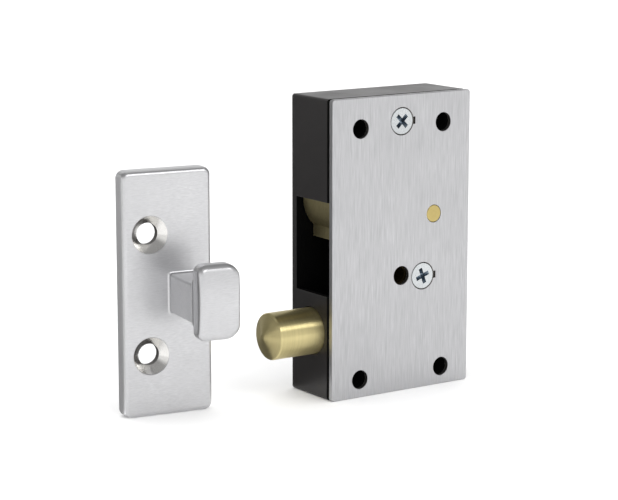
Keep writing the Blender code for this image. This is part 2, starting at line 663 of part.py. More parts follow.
def build_keeper():
    """The cast keeper: plate, stem and crowned head, with two countersunk holes."""
    stand = bpy.data.objects.new("keeper_turn_axis", None)
    PARTS.objects.link(stand)
    stand.location = place(KEEPER_TURN[0], 0, KEEPER_TURN[1])
    corner = place(KEEPER_CORNER[0], 0, KEEPER_CORNER[1]) - stand.location
    stand.rotation_euler = (0.0, 0.0, KEEPER_ANGLE)
    corner.rotate(Matrix.Rotation(-KEEPER_ANGLE, 3, "Z"))
    keeper = add_box("keeper", (0, 0, 0), (KEEPER_WIDTH, KEEPER_THICKNESS, KEEPER_HEIGHT), "satin_chrome")
    soften(keeper, KEEPER_EDGE, 3)
    stem = add_box("keeper_stem", (STEM_LEFT, -STEM_LENGTH - HEAD_THICKNESS / 2, STEM_BOTTOM),
                   (STEM_LEFT + STEM_WIDTH, KEEPER_THICKNESS / 2, STEM_BOTTOM + STEM_HEIGHT))
    soften(stem, STEM_EDGE, 2)
    head, side, top = build_head()
    sinks = []
    for number, up in enumerate(KEEPER_HOLES):
        hole = Vector((KEEPER_HOLE_X, -SINK_OVERSHOOT, up))
        wide = KEEPER_SINK_RADIUS + SINK_OVERSHOOT
        sinks.append(add_cylinder(f"keeper_hole_{number}", KEEPER_HOLE_RADIUS, 2 * KEEPER_THICKNESS,
                                  hole, TOWARDS_BACK))
        sinks.append(add_cylinder(f"keeper_sink_{number}", wide, wide - KEEPER_HOLE_RADIUS,
                                  hole, TOWARDS_BACK, far_radius=KEEPER_HOLE_RADIUS))
    for piece in (keeper, stem, head, side, top, *sinks):
        piece.location += corner
        piece.parent = stand
    join(keeper, stem)
    join(keeper, head)
    for sink in sinks:
        cut(keeper, sink)
    return keeper


def main():
    """Builds every sub-part of the latch."""
    build_case()
    build_front_plate()
    for name, spot in (("top", SCREW_TOP), ("lower", SCREW_LOWER)):
        build_cover_screw("cover_screw_" + name, spot)
        build_pillar("pillar_" + name, spot)
    build_latch_lever()
    build_pivot()
    build_small_pins()
    build_return_spring()
    build_plunger()
    build_plunger_guide()
    build_guide_rod()
    build_plunger_spring()
    build_release_hub()
    build_keeper()


main()
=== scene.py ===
"""Looks of a surface-mounted hook latch and its keeper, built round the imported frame.

Every length is in metres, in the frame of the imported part: the origin is the
centre of the case's back face, +Y runs into the door and +Z is up. Each
sub-assembly is a class that shapes its visible pieces and dresses them, and
each finish is a small frozen dataclass that makes one procedural material.
"""

import json
import logging
from dataclasses import dataclass
from enum import Enum
from math import atan2, cos, degrees, pi, radians, sin
from typing import Iterable, Optional, Sequence

import bmesh
import bpy
from mathutils import Matrix, Vector

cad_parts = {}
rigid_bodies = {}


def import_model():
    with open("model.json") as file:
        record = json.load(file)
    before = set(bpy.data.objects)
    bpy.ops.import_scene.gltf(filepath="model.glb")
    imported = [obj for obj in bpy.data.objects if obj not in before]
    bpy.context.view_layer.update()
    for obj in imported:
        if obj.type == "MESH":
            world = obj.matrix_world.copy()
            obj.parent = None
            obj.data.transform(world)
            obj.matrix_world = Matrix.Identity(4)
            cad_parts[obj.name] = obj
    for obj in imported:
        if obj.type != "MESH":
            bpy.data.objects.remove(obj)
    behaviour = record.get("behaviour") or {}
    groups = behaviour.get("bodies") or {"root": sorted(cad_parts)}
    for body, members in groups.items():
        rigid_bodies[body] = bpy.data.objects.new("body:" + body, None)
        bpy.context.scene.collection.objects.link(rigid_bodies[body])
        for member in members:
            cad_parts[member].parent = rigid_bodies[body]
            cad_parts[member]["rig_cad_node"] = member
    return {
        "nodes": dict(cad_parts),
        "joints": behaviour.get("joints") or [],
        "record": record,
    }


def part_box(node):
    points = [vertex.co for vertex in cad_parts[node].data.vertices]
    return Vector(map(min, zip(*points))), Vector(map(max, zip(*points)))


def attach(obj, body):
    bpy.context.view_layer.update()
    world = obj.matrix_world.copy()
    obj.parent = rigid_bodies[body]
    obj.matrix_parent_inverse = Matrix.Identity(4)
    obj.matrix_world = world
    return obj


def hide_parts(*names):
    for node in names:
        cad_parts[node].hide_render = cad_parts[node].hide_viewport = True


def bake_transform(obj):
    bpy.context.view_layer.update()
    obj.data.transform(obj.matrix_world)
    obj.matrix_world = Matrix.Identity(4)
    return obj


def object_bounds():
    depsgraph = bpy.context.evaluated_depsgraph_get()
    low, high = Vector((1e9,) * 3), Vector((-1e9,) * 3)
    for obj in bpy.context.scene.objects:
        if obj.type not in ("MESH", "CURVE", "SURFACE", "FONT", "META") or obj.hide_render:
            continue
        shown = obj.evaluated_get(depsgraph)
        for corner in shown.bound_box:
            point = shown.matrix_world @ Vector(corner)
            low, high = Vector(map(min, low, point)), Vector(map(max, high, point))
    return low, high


LOG = logging.getLogger("hook_latch")

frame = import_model()
CAD_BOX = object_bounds()

Point = tuple[float, float]


class Facing(Enum):
    """The way a turned or flat shape's own +Z points once it is in place."""

    FRONT = Matrix.Rotation(pi / 2, 4, "X")
    BACK = Matrix.Rotation(-pi / 2, 4, "X")
    LEFT = Matrix.Rotation(-pi / 2, 4, "Y")
    RIGHT = Matrix.Rotation(pi / 2, 4, "Y")


class Marks(Enum):
    """The way tool marks run, as how quickly they change along X, Y and Z."""

    UPRIGHT = (1.0, 1.0, 0.03)
    ACROSS = (0.03, 1.0, 1.0)


# ---------------------------------------------------------------- shader nodes


class NodeSheet:
    """A small helper that adds and wires nodes in one tree."""

    def __init__(self, tree: bpy.types.NodeTree) -> None:
        """Keeps the tree.

        Args:
            tree: The material's or group's node tree.
        """
        self.tree = tree

    def add(self, kind: str, **inputs: object) -> bpy.types.Node:
        """Adds a node and fills its inputs.

        Args:
            kind: The node's type after "ShaderNode".
            **inputs: Socket names, spaces as underscores, with a value or an output socket.

        Returns:
            The new node.
        """
        node = self.tree.nodes.new("ShaderNode" + kind)
        for name, value in inputs.items():
            self.fill(node, name.replace("_", " "), value)
        return node

    def fill(self, node: bpy.types.Node, name: str | int, value: object) -> None:
        """Sets one input to a value, or links an output socket to it."""
        if isinstance(value, bpy.types.NodeSocket):
            self.tree.links.new(value, node.inputs[name])
        else:
            node.inputs[name].default_value = value

    def math(self, operation: str, first: object, second: object = 0.0,
             third: object = 0.0) -> bpy.types.NodeSocket:
        """One Math node.

        Args:
            operation: Its operation, such as "MULTIPLY".
            first: The first value or socket.
            second: The second value or socket.
            third: The third value or socket, where the operation has one.

        Returns:
            Its output socket.
        """
        node = self.add("Math")
        node.operation = operation
        for index, value in enumerate((first, second, third)):
            self.fill(node, index, value)
        return node.outputs[0]

    def ramp(self, value: object, low: float, high: float, out_low: float = 0.0,
             out_high: float = 1.0) -> bpy.types.NodeSocket:
        """A clamped linear change of range.

        Args:
            value: The socket that is read.
            low: The input that gives out_low.
            high: The input that gives out_high.
            out_low: The output at low.
            out_high: The output at high.

        Returns:
            The output socket.
        """
        node = self.add("MapRange", Value=value)
        ends = {"From Min": low, "From Max": high, "To Min": out_low, "To Max": out_high}
        for name, number in ends.items():
            node.inputs[name].default_value = number
        return node.outputs["Result"]

    def noise(self, vector: object, scale: float, detail: float = 2.0,
              rough: float = 0.5) -> bpy.types.NodeSocket:
        """A noise pattern.

        Args:
            vector: The coordinates it reads.
            scale: Its scale, in features a metre.
            detail: Its octaves.
            rough: How strong the fine octaves are.

        Returns:
            Its factor socket.
        """
        node = self.add("TexNoise", Vector=vector, Scale=scale, Detail=detail, Roughness=rough)
        return node.outputs[0]

    def blend(self, amount: object, first: object, second: object, mode: str = "MIX") -> bpy.types.NodeSocket:
        """Mixes two colours.

        Args:
            amount: The factor.
            first: The colour at 0.
            second: The colour at 1.
            mode: The blending mode.

        Returns:
            The mixed colour's socket.
        """
        node = self.add("Mix")
        node.data_type = "RGBA"
        node.blend_type = mode
        colours = [s for s in node.inputs if s.type == "RGBA"]
        self.fill(node, 0, amount)
        for socket, value in zip(colours, (first, second)):
            if isinstance(value, bpy.types.NodeSocket):
                self.tree.links.new(value, socket)
            else:
                socket.default_value = (*value, 1.0)[:4]
        return next(s for s in node.outputs if s.type == "RGBA")


def group_tree(name: str, inputs: Sequence[tuple[str, str, object]],
               outputs: Sequence[str]) -> tuple[bpy.types.NodeTree, NodeSheet, dict, bpy.types.Node]:
    """An empty shader group with its sockets.

    Args:
        name: The group's name.
        inputs: Name, kind ("Float" or "Vector") and default of each input.
        outputs: Names of the value outputs.

    Returns:
        The tree, its sheet, its inputs by name and its output node.
    """
    tree = bpy.data.node_groups.new(name, "ShaderNodeTree")
    for label, kind, value in inputs:
        socket = tree.interface.new_socket(label, in_out="INPUT", socket_type="NodeSocket" + kind)
        if value is not None:
            socket.default_value = value
    for label in outputs:
        tree.interface.new_socket(label, in_out="OUTPUT", socket_type="NodeSocketFloat")
    sheet = NodeSheet(tree)
    entry = tree.nodes.new("NodeGroupInput")
    leave = tree.nodes.new("NodeGroupOutput")
    return tree, sheet, {label: entry.outputs[label] for label, _, _ in inputs}, leave


def brushing_group() -> bpy.types.NodeTree:
    """Straight brushing: long streaks of three widths, stretched along one axis.

    Returns:
        The group, with outputs Streaks and Height.
    """
    inputs = [("Vector", "Vector", None), ("Stretch", "Vector", (1.0, 1.0, 1.0))]
    tree, sheet, given, leave = group_tree("brushing", inputs, ["Streaks", "Height"])
    drawn = sheet.add("VectorMath")
    drawn.operation = "MULTIPLY"
    sheet.fill(drawn, 0, given["Vector"])
    sheet.fill(drawn, 1, given["Stretch"])
    fine = sheet.noise(drawn.outputs[0], 5600.0, 2.0, 0.6)
    middle = sheet.noise(drawn.outputs[0], 3400.0, 2.0, 0.6)
    broad = sheet.noise(drawn.outputs[0], 700.0, 1.0)
    streaks = sheet.math("MULTIPLY_ADD", fine, 0.30, sheet.math("MULTIPLY", middle, 0.62))
    streaks = sheet.math("MULTIPLY_ADD", broad, 0.08, streaks)
    sheet.fill(leave, "Streaks", sheet.ramp(streaks, 0.34, 0.66))
    sheet.fill(leave, "Height", sheet.math("MULTIPLY_ADD", fine, 0.6, sheet.math("MULTIPLY", middle, 0.4)))
    return tree


def turning_group() -> bpy.types.NodeTree:
    """Lathe marks round an axis: fine rings that follow the height and the radius.

    Returns:
        The group, with outputs Rings and Height. Its Vector is centred, with the axis along Z.
    """
    tree, sheet, given, leave = group_tree("turning", [("Vector", "Vector", None)], ["Rings", "Height"])
    parts = sheet.add("SeparateXYZ", Vector=given["Vector"])
    flat = sheet.add("CombineXYZ", X=parts.outputs["X"], Y=parts.outputs["Y"])
    radius = sheet.add("VectorMath")
    radius.operation = "LENGTH"
    sheet.fill(radius, 0, flat.outputs[0])
    slow = sheet.add("VectorMath")
    slow.operation = "SCALE"
    sheet.fill(slow, 0, given["Vector"])
    sheet.fill(slow, "Scale", 0.035)
    along = sheet.math("MULTIPLY_ADD", radius.outputs["Value"], 1.37, parts.outputs["Z"])
    spot = sheet.add("CombineXYZ", X=along)
    both = sheet.add("VectorMath")
    both.operation = "ADD"
    sheet.fill(both, 0, spot.outputs[0])
    sheet.fill(both, 1, slow.outputs[0])
    fine = sheet.noise(both.outputs[0], 7000.0, 2.0, 0.6)
    coarse = sheet.noise(both.outputs[0], 1300.0, 2.0)
    rings = sheet.math("MULTIPLY_ADD", fine, 0.55, sheet.math("MULTIPLY", coarse, 0.45))
    sheet.fill(leave, "Rings", sheet.ramp(rings, 0.33, 0.67))
    sheet.fill(leave, "Height", fine)
    return tree


def handling_group() -> bpy.types.NodeTree:
    """Soft clouds of handling and a few fine hairline scratches.

    Returns:
        The group, with outputs Clouds and Scratches.
    """
    tree, sheet, given, leave = group_tree("handling", [("Vector", "Vector", None)], ["Clouds", "Scratches"])
    clouds = sheet.noise(given["Vector"], 55.0, 4.0, 0.6)
    sheet.fill(leave, "Clouds", sheet.ramp(clouds, 0.3, 0.7))
    kept = None
    for turn, scale in ((35.0, 130.0), (118.0, 95.0)):
        swing = sheet.add("Mapping", Vector=given["Vector"])
        swing.inputs["Rotation"].default_value = (radians(turn / 2), radians(turn), radians(turn / 3))
        swing.inputs["Scale"].default_value = (1.0, 1.0, 0.06)
        hair = sheet.noise(swing.outputs[0], scale * 12, 1.0)
        line = sheet.ramp(sheet.math("ABSOLUTE", sheet.math("SUBTRACT", hair, 0.5)), 0.0, 0.006, 1.0, 0.0)
        patch = sheet.ramp(sheet.noise(given["Vector"], scale, 1.0), 0.58, 0.68)
        line = sheet.math("MULTIPLY", line, patch)
        kept = line if kept is None else sheet.math("MAXIMUM", kept, line)
    sheet.fill(leave, "Scratches", kept)
    return tree


def worn_edge_group() -> bpy.types.NodeTree:
    """Where an edge has been rubbed: the bevelled normal leaves the true one, broken up by noise.

    Returns:
        The group, with the output Mask.
    """
    inputs = [("Vector", "Vector", None), ("Reach", "Float", 0.0006), ("Break Up", "Float", 0.5)]
    tree, sheet, given, leave = group_tree("worn_edge", inputs, ["Mask"])
    rounded = sheet.add("Bevel", Radius=given["Reach"])
    rounded.samples = 4
    true = sheet.add("NewGeometry")
    turn = sheet.add("VectorMath")
    turn.operation = "DOT_PRODUCT"
    sheet.fill(turn, 0, rounded.outputs[0])
    sheet.fill(turn, 1, true.outputs["Normal"])
    edge = sheet.ramp(turn.outputs["Value"], 0.995, 0.86)
    broken = sheet.ramp(sheet.noise(given["Vector"], 900.0, 3.0, 0.65), 0.35, 0.65)
    kept = sheet.math("SUBTRACT", 1.0, sheet.math("MULTIPLY", given["Break Up"], broken))
    sheet.fill(leave, "Mask", sheet.math("MULTIPLY", edge, kept))
    return tree


def cast_skin_group() -> bpy.types.NodeTree:
    """The skin of enamel on a casting: soft orange peel with sparse dust in it.

    Returns:
        The group, with outputs Peel and Dust.
    """
    tree, sheet, given, leave = group_tree("cast_skin", [("Vector", "Vector", None)], ["Peel", "Dust"])
    peel = sheet.noise(given["Vector"], 1150.0, 2.0, 0.45)
    swell = sheet.noise(given["Vector"], 240.0, 2.0)
    sheet.fill(leave, "Peel", sheet.math("MULTIPLY_ADD", peel, 0.7, sheet.math("MULTIPLY", swell, 0.3)))
    specks = sheet.add("TexVoronoi", Vector=given["Vector"], Scale=700.0)
    near = sheet.ramp(specks.outputs["Distance"], 0.07, 0.16, 1.0, 0.0)
    rare = sheet.ramp(sheet.noise(given["Vector"], 300.0, 1.0), 0.56, 0.64)
    sheet.fill(leave, "Dust", sheet.math("MULTIPLY", near, rare))
    return tree


class Effects:
    """The shader groups that the finishes share, each built once."""

    makers = {
        "brushing": brushing_group,
        "turning": turning_group,
        "handling": handling_group,
        "worn_edge": worn_edge_group,
        "cast_skin": cast_skin_group,
    }

    @classmethod
    def place(cls, sheet: NodeSheet, name: str, **inputs: object) -> bpy.types.Node:
        """Puts one of the groups in a material.

        Args:
            sheet: The material's sheet.
            name: The group's name.
            **inputs: Its inputs, spaces as underscores.

        Returns:
            The group node.
        """
        tree = bpy.data.node_groups.get(name) or cls.makers[name]()
        node = sheet.tree.nodes.new("ShaderNodeGroup")
        node.node_tree = tree
        for label, value in inputs.items():
            sheet.fill(node, label.replace("_", " "), value)
        return node


# -------------------------------------------------------------------- finishes


@dataclass(frozen=True)
class Finish:
    """What every finish has: a name, the record's slot and its plain surface values."""

    name: str
    slot: str
    colour: tuple[float, float, float]
    roughness: float
    metallic: float = 1.0

    def start(self) -> tuple[bpy.types.Material, NodeSheet, bpy.types.Node, bpy.types.NodeSocket]:
        """A new material with its shader and object coordinates.

        Returns:
            The material, its sheet, the shader and the coordinates' socket.
        """
        made = bpy.data.materials.new(self.name)
        made.use_nodes = True
        sheet = NodeSheet(made.node_tree)
        shader = made.node_tree.nodes["Principled BSDF"]
        shader.inputs["Base Color"].default_value = (*self.colour, 1.0)
        shader.inputs["Roughness"].default_value = self.roughness
        shader.inputs["Metallic"].default_value = self.metallic
        made.diffuse_color = (*self.colour, 1.0)
        return made, sheet, shader, sheet.add("TexCoord").outputs["Object"]

    def material(self) -> bpy.types.Material:
        """The finish's material, made once and then shared."""
        return bpy.data.materials.get(self.name) or self.make()

    def make(self) -> bpy.types.Material:
        """Builds the material. Each kind of finish has its own."""
        raise NotImplementedError

    def shade(self, factor: float) -> tuple[float, float, float]:
        """The finish's colour, lighter or darker by a factor."""
        return tuple(min(1.0, part * factor) for part in self.colour)

    def dress(self, piece: bpy.types.Object) -> None:
        """Gives the finish to a piece, in place of what it had."""
        piece.data.materials.clear()
        piece.data.materials.append(self.material())


def dress_faces(piece: bpy.types.Object, finish: Finish, chosen: Iterable[int]) -> None:
    """Gives some faces of a dressed piece a second finish.

    Args:
        piece: The piece.
        finish: The second finish.
        chosen: The faces' numbers.
    """
    piece.data.materials.append(finish.material())
    for number in chosen:
        piece.data.polygons[number].material_index = len(piece.data.materials) - 1


@dataclass(frozen=True)
class Brushed(Finish):
    """Metal brushed straight, with handling marks and a bright worn edge."""

    marks: Marks = Marks.UPRIGHT
    contrast: float = 0.10
    depth: float = 0.000004
    edge_light: float = 1.12

    def make(self) -> bpy.types.Material:
        """Builds the brushed material.

        Returns:
            The new material.
        """
        made, sheet, shader, spot = self.start()
        drawn = Effects.place(sheet, "brushing", Vector=spot, Stretch=self.marks.value)
        touched = Effects.place(sheet, "handling", Vector=spot)
        worn = Effects.place(sheet, "worn_edge", Vector=spot, Reach=0.0005, Break_Up=0.35)
        dim, bright = self.shade(1 - self.contrast), self.shade(1 + self.contrast)
        base = sheet.blend(drawn.outputs["Streaks"], dim, bright)
        base = sheet.blend(sheet.math("MULTIPLY", touched.outputs["Clouds"], 0.5), base, self.shade(0.965))
        base = sheet.blend(sheet.math("MULTIPLY", touched.outputs["Scratches"], 0.15), base, self.shade(1.15))
        base = sheet.blend(worn.outputs["Mask"], base, self.shade(self.edge_light))
        sheet.fill(shader, "Base Color", base)
        rough = sheet.ramp(drawn.outputs["Streaks"], 0.0, 1.0, self.roughness + 0.05, self.roughness - 0.05)
        rough = sheet.math("MULTIPLY_ADD", touched.outputs["Clouds"], 0.05, rough)
        sheet.fill(shader, "Roughness", rough)
        height = sheet.math("MULTIPLY_ADD", touched.outputs["Scratches"], -0.2, drawn.outputs["Height"])
        bump = sheet.add("Bump", Strength=0.55, Distance=self.depth, Height=height)
        sheet.fill(shader, "Normal", bump.outputs[0])
        return made


@dataclass(frozen=True)
class Turned(Finish):
    """Metal turned on a lathe about an axis through a centre."""

    centre: tuple[float, float, float] = (0.0, 0.0, 0.0)
    axis: str = "X"
    contrast: float = 0.08
    depth: float = 0.000003
    dull: float = 0.82
    anisotropy: float = 0.0

    def make(self) -> bpy.types.Material:
        """Builds the turned material.

        Returns:
            The new material.
        """
        made, sheet, shader, spot = self.start()
        centred = sheet.add("VectorMath")
        centred.operation = "SUBTRACT"
        sheet.fill(centred, 0, spot)
        sheet.fill(centred, 1, self.centre)
        turn = sheet.add("Mapping", Vector=centred.outputs[0])
        turn.inputs["Rotation"].default_value = {"X": (0.0, -pi / 2, 0.0), "Y": (pi / 2, 0.0, 0.0)}[self.axis]
        rings = Effects.place(sheet, "turning", Vector=turn.outputs[0])
        touched = Effects.place(sheet, "handling", Vector=spot)
        worn = Effects.place(sheet, "worn_edge", Vector=spot, Reach=0.0004, Break_Up=0.3)
        dim, bright = self.shade(1 - self.contrast), self.shade(1 + self.contrast)
        base = sheet.blend(rings.outputs["Rings"], dim, bright)
        tarnish = sheet.math("MULTIPLY", touched.outputs["Clouds"], 0.45)
        base = sheet.blend(tarnish, base, self.shade(self.dull))
        base = sheet.blend(sheet.math("MULTIPLY", touched.outputs["Scratches"], 0.25), base, self.shade(1.3))
        base = sheet.blend(sheet.math("MULTIPLY", worn.outputs["Mask"], 0.7), base, self.shade(1.25))
        sheet.fill(shader, "Base Color", base)
        rough = sheet.ramp(rings.outputs["Rings"], 0.0, 1.0, self.roughness + 0.05, self.roughness - 0.05)
        sheet.fill(shader, "Roughness", sheet.math("MULTIPLY_ADD", touched.outputs["Clouds"], 0.06, rough))
        height = sheet.math("MULTIPLY_ADD", touched.outputs["Scratches"], -0.2, rings.outputs["Height"])
        bump = sheet.add("Bump", Strength=0.5, Distance=self.depth, Height=height)
        sheet.fill(shader, "Normal", bump.outputs[0])
        if self.anisotropy:
            round_about = sheet.add("Tangent")
            round_about.direction_type = "RADIAL"
            round_about.axis = self.axis
            shader.inputs["Anisotropic"].default_value = self.anisotropy
            shader.inputs["Anisotropic Rotation"].default_value = 0.25
            sheet.fill(shader, "Tangent", round_about.outputs[0])
        return made


@dataclass(frozen=True)
class Enamel(Finish):
    """Dark satin enamel on a casting, rubbed at its edges, with a little dust."""

    metallic: float = 0.0
    worn_colour: tuple[float, float, float] = (0.10, 0.095, 0.09)
    dust_colour: tuple[float, float, float] = (0.16, 0.155, 0.15)
    depth: float = 0.000012
    gloss: float = 0.5

    def make(self) -> bpy.types.Material:
        """Builds the enamel.

        Returns:
            The new material.
        """
        made, sheet, shader, spot = self.start()
        skin = Effects.place(sheet, "cast_skin", Vector=spot)
        touched = Effects.place(sheet, "handling", Vector=spot)
        worn = Effects.place(sheet, "worn_edge", Vector=spot, Reach=0.0007, Break_Up=0.75)
        base = sheet.blend(touched.outputs["Clouds"], self.shade(0.88), self.shade(1.14))
        base = sheet.blend(sheet.math("MULTIPLY", skin.outputs["Dust"], 0.30), base, self.dust_colour)
        base = sheet.blend(sheet.math("MULTIPLY", worn.outputs["Mask"], 0.35), base, self.worn_colour)
        sheet.fill(shader, "Base Color", base)
        rough = sheet.ramp(touched.outputs["Clouds"], 0.0, 1.0, self.roughness - 0.04, self.roughness + 0.06)
        rough = sheet.math("MULTIPLY_ADD", skin.outputs["Dust"], 0.2, rough)
        sheet.fill(shader, "Roughness", rough)
        bump = sheet.add("Bump", Strength=0.5, Distance=self.depth, Height=skin.outputs["Peel"])
        sheet.fill(shader, "Normal", bump.outputs[0])
        shader.inputs["Specular IOR Level"].default_value = self.gloss
        return made


@dataclass(frozen=True)
class Plated(Finish):
    """Bright plating on a pressed or headed steel piece, faintly clouded."""

    depth: float = 0.000005
    clouding: float = 0.88

    def make(self) -> bpy.types.Material:
        """Builds the plating.

        Returns:
            The new material.
        """
        made, sheet, shader, spot = self.start()
        touched = Effects.place(sheet, "handling", Vector=spot)
        grain = sheet.noise(spot, 2600.0, 3.0, 0.6)
        base = sheet.blend(touched.outputs["Clouds"], self.shade(1.05), self.shade(self.clouding))
        base = sheet.blend(sheet.ramp(grain, 0.4, 0.62, 0.0, 0.25), base, self.shade(0.8))
        sheet.fill(shader, "Base Color", base)
        rough = sheet.ramp(grain, 0.3, 0.7, self.roughness - 0.05, self.roughness + 0.09)
        sheet.fill(shader, "Roughness", rough)
        bump = sheet.add("Bump", Strength=0.4, Distance=self.depth, Height=grain)
        sheet.fill(shader, "Normal", bump.outputs[0])
        return made


# ------------------------------------------------------------------ mesh tools


def arc(centre: Point, radius: float, start: float, end: float, steps: int) -> list[Point]:
    """Points along an arc.

    Args:
        centre: Its centre.
        radius: Its radius.
        start: Where it starts, in degrees.
        end: Where it ends, in degrees.
        steps: How many stretches it has.

    Returns:
        The points, both ends included.
    """
    angles = [radians(start + (end - start) * i / steps) for i in range(steps + 1)]
    return [(centre[0] + radius * cos(a), centre[1] + radius * sin(a)) for a in angles]


def round_rectangle(low: Point, high: Point, radius: float, steps: int = 8) -> list[Point]:
    """Outline of a rectangle with round corners.

    Args:
        low: Its lower left corner.
        high: Its upper right corner.
        radius: The corners' radius.
        steps: Stretches in each corner.

    Returns:
        The outline, anticlockwise.
    """
    outline: list[Point] = []
    for x, z, start in ((0, 0, 180), (1, 0, 270), (1, 1, 0), (0, 1, 90)):
        centre = (high[0] - radius if x else low[0] + radius, high[1] - radius if z else low[1] + radius)
        outline += arc(centre, radius, start, start + 90, steps)
    return outline


def new_piece(name: str, shape: bmesh.types.BMesh, place: Optional[Matrix] = None) -> bpy.types.Object:
    """Turns a bmesh into an object at the origin, its place in its mesh.

    Args:
        name: The piece's name.
        shape: The bmesh, which is freed.
        place: Where the shape's own frame goes.

    Returns:
        The object.
    """
    bmesh.ops.recalc_face_normals(shape, faces=shape.faces)
    mesh = bpy.data.meshes.new(name)
    shape.to_mesh(mesh)
    shape.free()
    if place is not None:
        mesh.transform(place)
    piece = bpy.data.objects.new(name, mesh)
    bpy.context.scene.collection.objects.link(piece)
    return piece


def filled_outline(shape: bmesh.types.BMesh, outline: Sequence[Point]) -> list[bmesh.types.BMFace]:
    """One flat face in the shape's XY plane.

    Args:
        shape: The bmesh it goes into.
        outline: Its points.

    Returns:
        A list with the face, pointing up.
    """
    face = shape.faces.new([shape.verts.new((x, y, 0.0)) for x, y in outline])
    face.normal_update()
    if face.normal.z < 0:
        face.normal_flip()
    return [face]


def round_over(shape: bmesh.types.BMesh, faces: list[bmesh.types.BMFace], radius: float,
               steps: int) -> None:
    """Rounds the rim of a flat top by insets that follow a quarter circle, standing on that top.

    Args:
        shape: The bmesh.
        faces: The flat top.
        radius: The rounding's radius.
        steps: How many insets it takes.
    """
    for i in range(steps):
        start, end = (pi / 2) * i / steps, (pi / 2) * (i + 1) / steps
        inward, upward = radius * (cos(start) - cos(end)), radius * (sin(end) - sin(start))
        bmesh.ops.inset_region(shape, faces=faces, thickness=inward, depth=upward, use_even_offset=True,
                               use_boundary=True)


def slab(outline: Sequence[Point], thickness: float, front_round: float, back_round: float,
         steps: int = 4) -> bmesh.types.BMesh:
    """A thick flat shape with rounded front and back rims.

    Args:
        outline: Its outline, in its own X and Y.
        thickness: Its thickness along its own Z, from 0.
        front_round: The radius of the rim at the top.
        back_round: The radius of the rim at 0.
        steps: Stretches in each rounding.

    Returns:
        The bmesh.
    """
    shape = bmesh.new()
    base = filled_outline(shape, outline)
    bmesh.ops.translate(shape, vec=(0, 0, back_round), verts=shape.verts)
    grown = bmesh.ops.extrude_face_region(shape, geom=base, use_keep_orig=True)
    top = [item for item in grown["geom"] if isinstance(item, bmesh.types.BMFace)]
    lift = thickness - front_round - back_round
    bmesh.ops.translate(shape, vec=(0, 0, lift), verts=[v for f in top for v in f.verts])
    bmesh.ops.reverse_faces(shape, faces=base)
    round_over(shape, top, front_round, steps)
    round_over(shape, base, back_round, steps)
    return shape


def turned(profile: Sequence[Point], steps: int = 96) -> bmesh.types.BMesh:
    """Spins a (radius, height) profile round its own Z.

    Args:
        profile: Its points. Ends at radius 0 close on the axis.
        steps: Steps round.

    Returns:
        The bmesh.
    """
    shape = bmesh.new()
    line = [shape.verts.new((radius, 0.0, height)) for radius, height in profile]
    edges = [shape.edges.new(pair) for pair in zip(line, line[1:])]
    if profile[0][0] > 0 and profile[-1][0] > 0:
        edges.append(shape.edges.new((line[-1], line[0])))
    bmesh.ops.spin(shape, geom=line + edges, cent=(0, 0, 0), axis=(0, 0, 1), angle=2 * pi, steps=steps,
                   use_merge=True, use_duplicate=False)
    bmesh.ops.remove_doubles(shape, verts=shape.verts, dist=1e-7)
    return shape


def block(low: Vector, high: Vector) -> bmesh.types.BMesh:
    """A box between two corners.

    Args:
        low: Its lowest corner.
        high: Its highest corner.

    Returns:
        The bmesh.
    """
    shape = bmesh.new()
    bmesh.ops.create_cube(shape, size=1.0)
    bmesh.ops.scale(shape, vec=Vector(high) - Vector(low), verts=shape.verts)
    bmesh.ops.translate(shape, vec=(Vector(high) + Vector(low)) / 2, verts=shape.verts)
    return shape


def apply_all(piece: bpy.types.Object) -> None:
    """Applies a piece's modifiers to its mesh."""
    bpy.context.view_layer.update()
    ready = piece.evaluated_get(bpy.context.evaluated_depsgraph_get())
    mesh = bpy.data.meshes.new_from_object(ready)
    mesh.name = piece.name
    old = piece.data
    piece.modifiers.clear()
    piece.data = mesh
    bpy.data.meshes.remove(old)


def carve(piece: bpy.types.Object, tools: Iterable[bpy.types.Object], join: bool = False) -> None:
    """Cuts tools out of a piece, or joins them to it, and removes the tools.

    Args:
        piece: The piece that is changed.
        tools: The tools, each one closed shape.
        join: True to join them.
    """
    tools = list(tools)
    for tool in tools:
        change = piece.modifiers.new(tool.name, "BOOLEAN")
        change.operation = "UNION" if join else "DIFFERENCE"
        change.solver = "EXACT"
        change.object = tool
    apply_all(piece)
    for tool in tools:
        bpy.data.objects.remove(tool, do_unlink=True)


def settle(piece: bpy.types.Object, sharp: float = 32.0) -> bpy.types.Object:
    """Smooth shading that keeps flat faces flat and steep edges sharp.

    Args:
        piece: The piece.
        sharp: The angle from which an edge stays sharp, in degrees.

    Returns:
        The same piece.
    """
    piece.data.shade_smooth()
    piece.data.set_sharp_from_angle(angle=radians(sharp))
    weigh = piece.modifiers.new("weigh_normals", "WEIGHTED_NORMAL")
    weigh.keep_sharp = True
    apply_all(piece)
    return piece


def centre_of(node: str) -> Vector:
    """The middle of a CAD node's box."""
    low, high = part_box(node)
    return (low + high) / 2


def joint_spot(name: str) -> Vector:
    """The point on a hinge's axis, from the frame."""
    return next(Vector(joint["pos_m"]) for joint in frame["joints"] if joint["name"] == name)


def hole_tool(name: str, radius: float, length: float, chamfer: float, place: Matrix) -> bpy.types.Object:
    """A round cutter that starts just outside a face at its own Z 0 and breaks that face's edge.

    Args:
        name: The cutter's name.
        radius: The hole's radius.
        length: How deep it goes, down its own -Z.
        chamfer: The width of the broken edge.
        place: Where the face is, with +Z out of it.

    Returns:
        The cutter.
    """
    out = 0.0005
    profile = [(0.0, out), (radius + chamfer + out, out), (radius + chamfer, 0.0), (radius, -chamfer),
               (radius, -length), (0.0, -length)]
    return new_piece(name, turned(profile, 64), place)


def at(spot: Vector, facing: Facing) -> Matrix:
    """The place of a shape at a point, with its own +Z facing a given way."""
    return Matrix.Translation(spot) @ facing.value


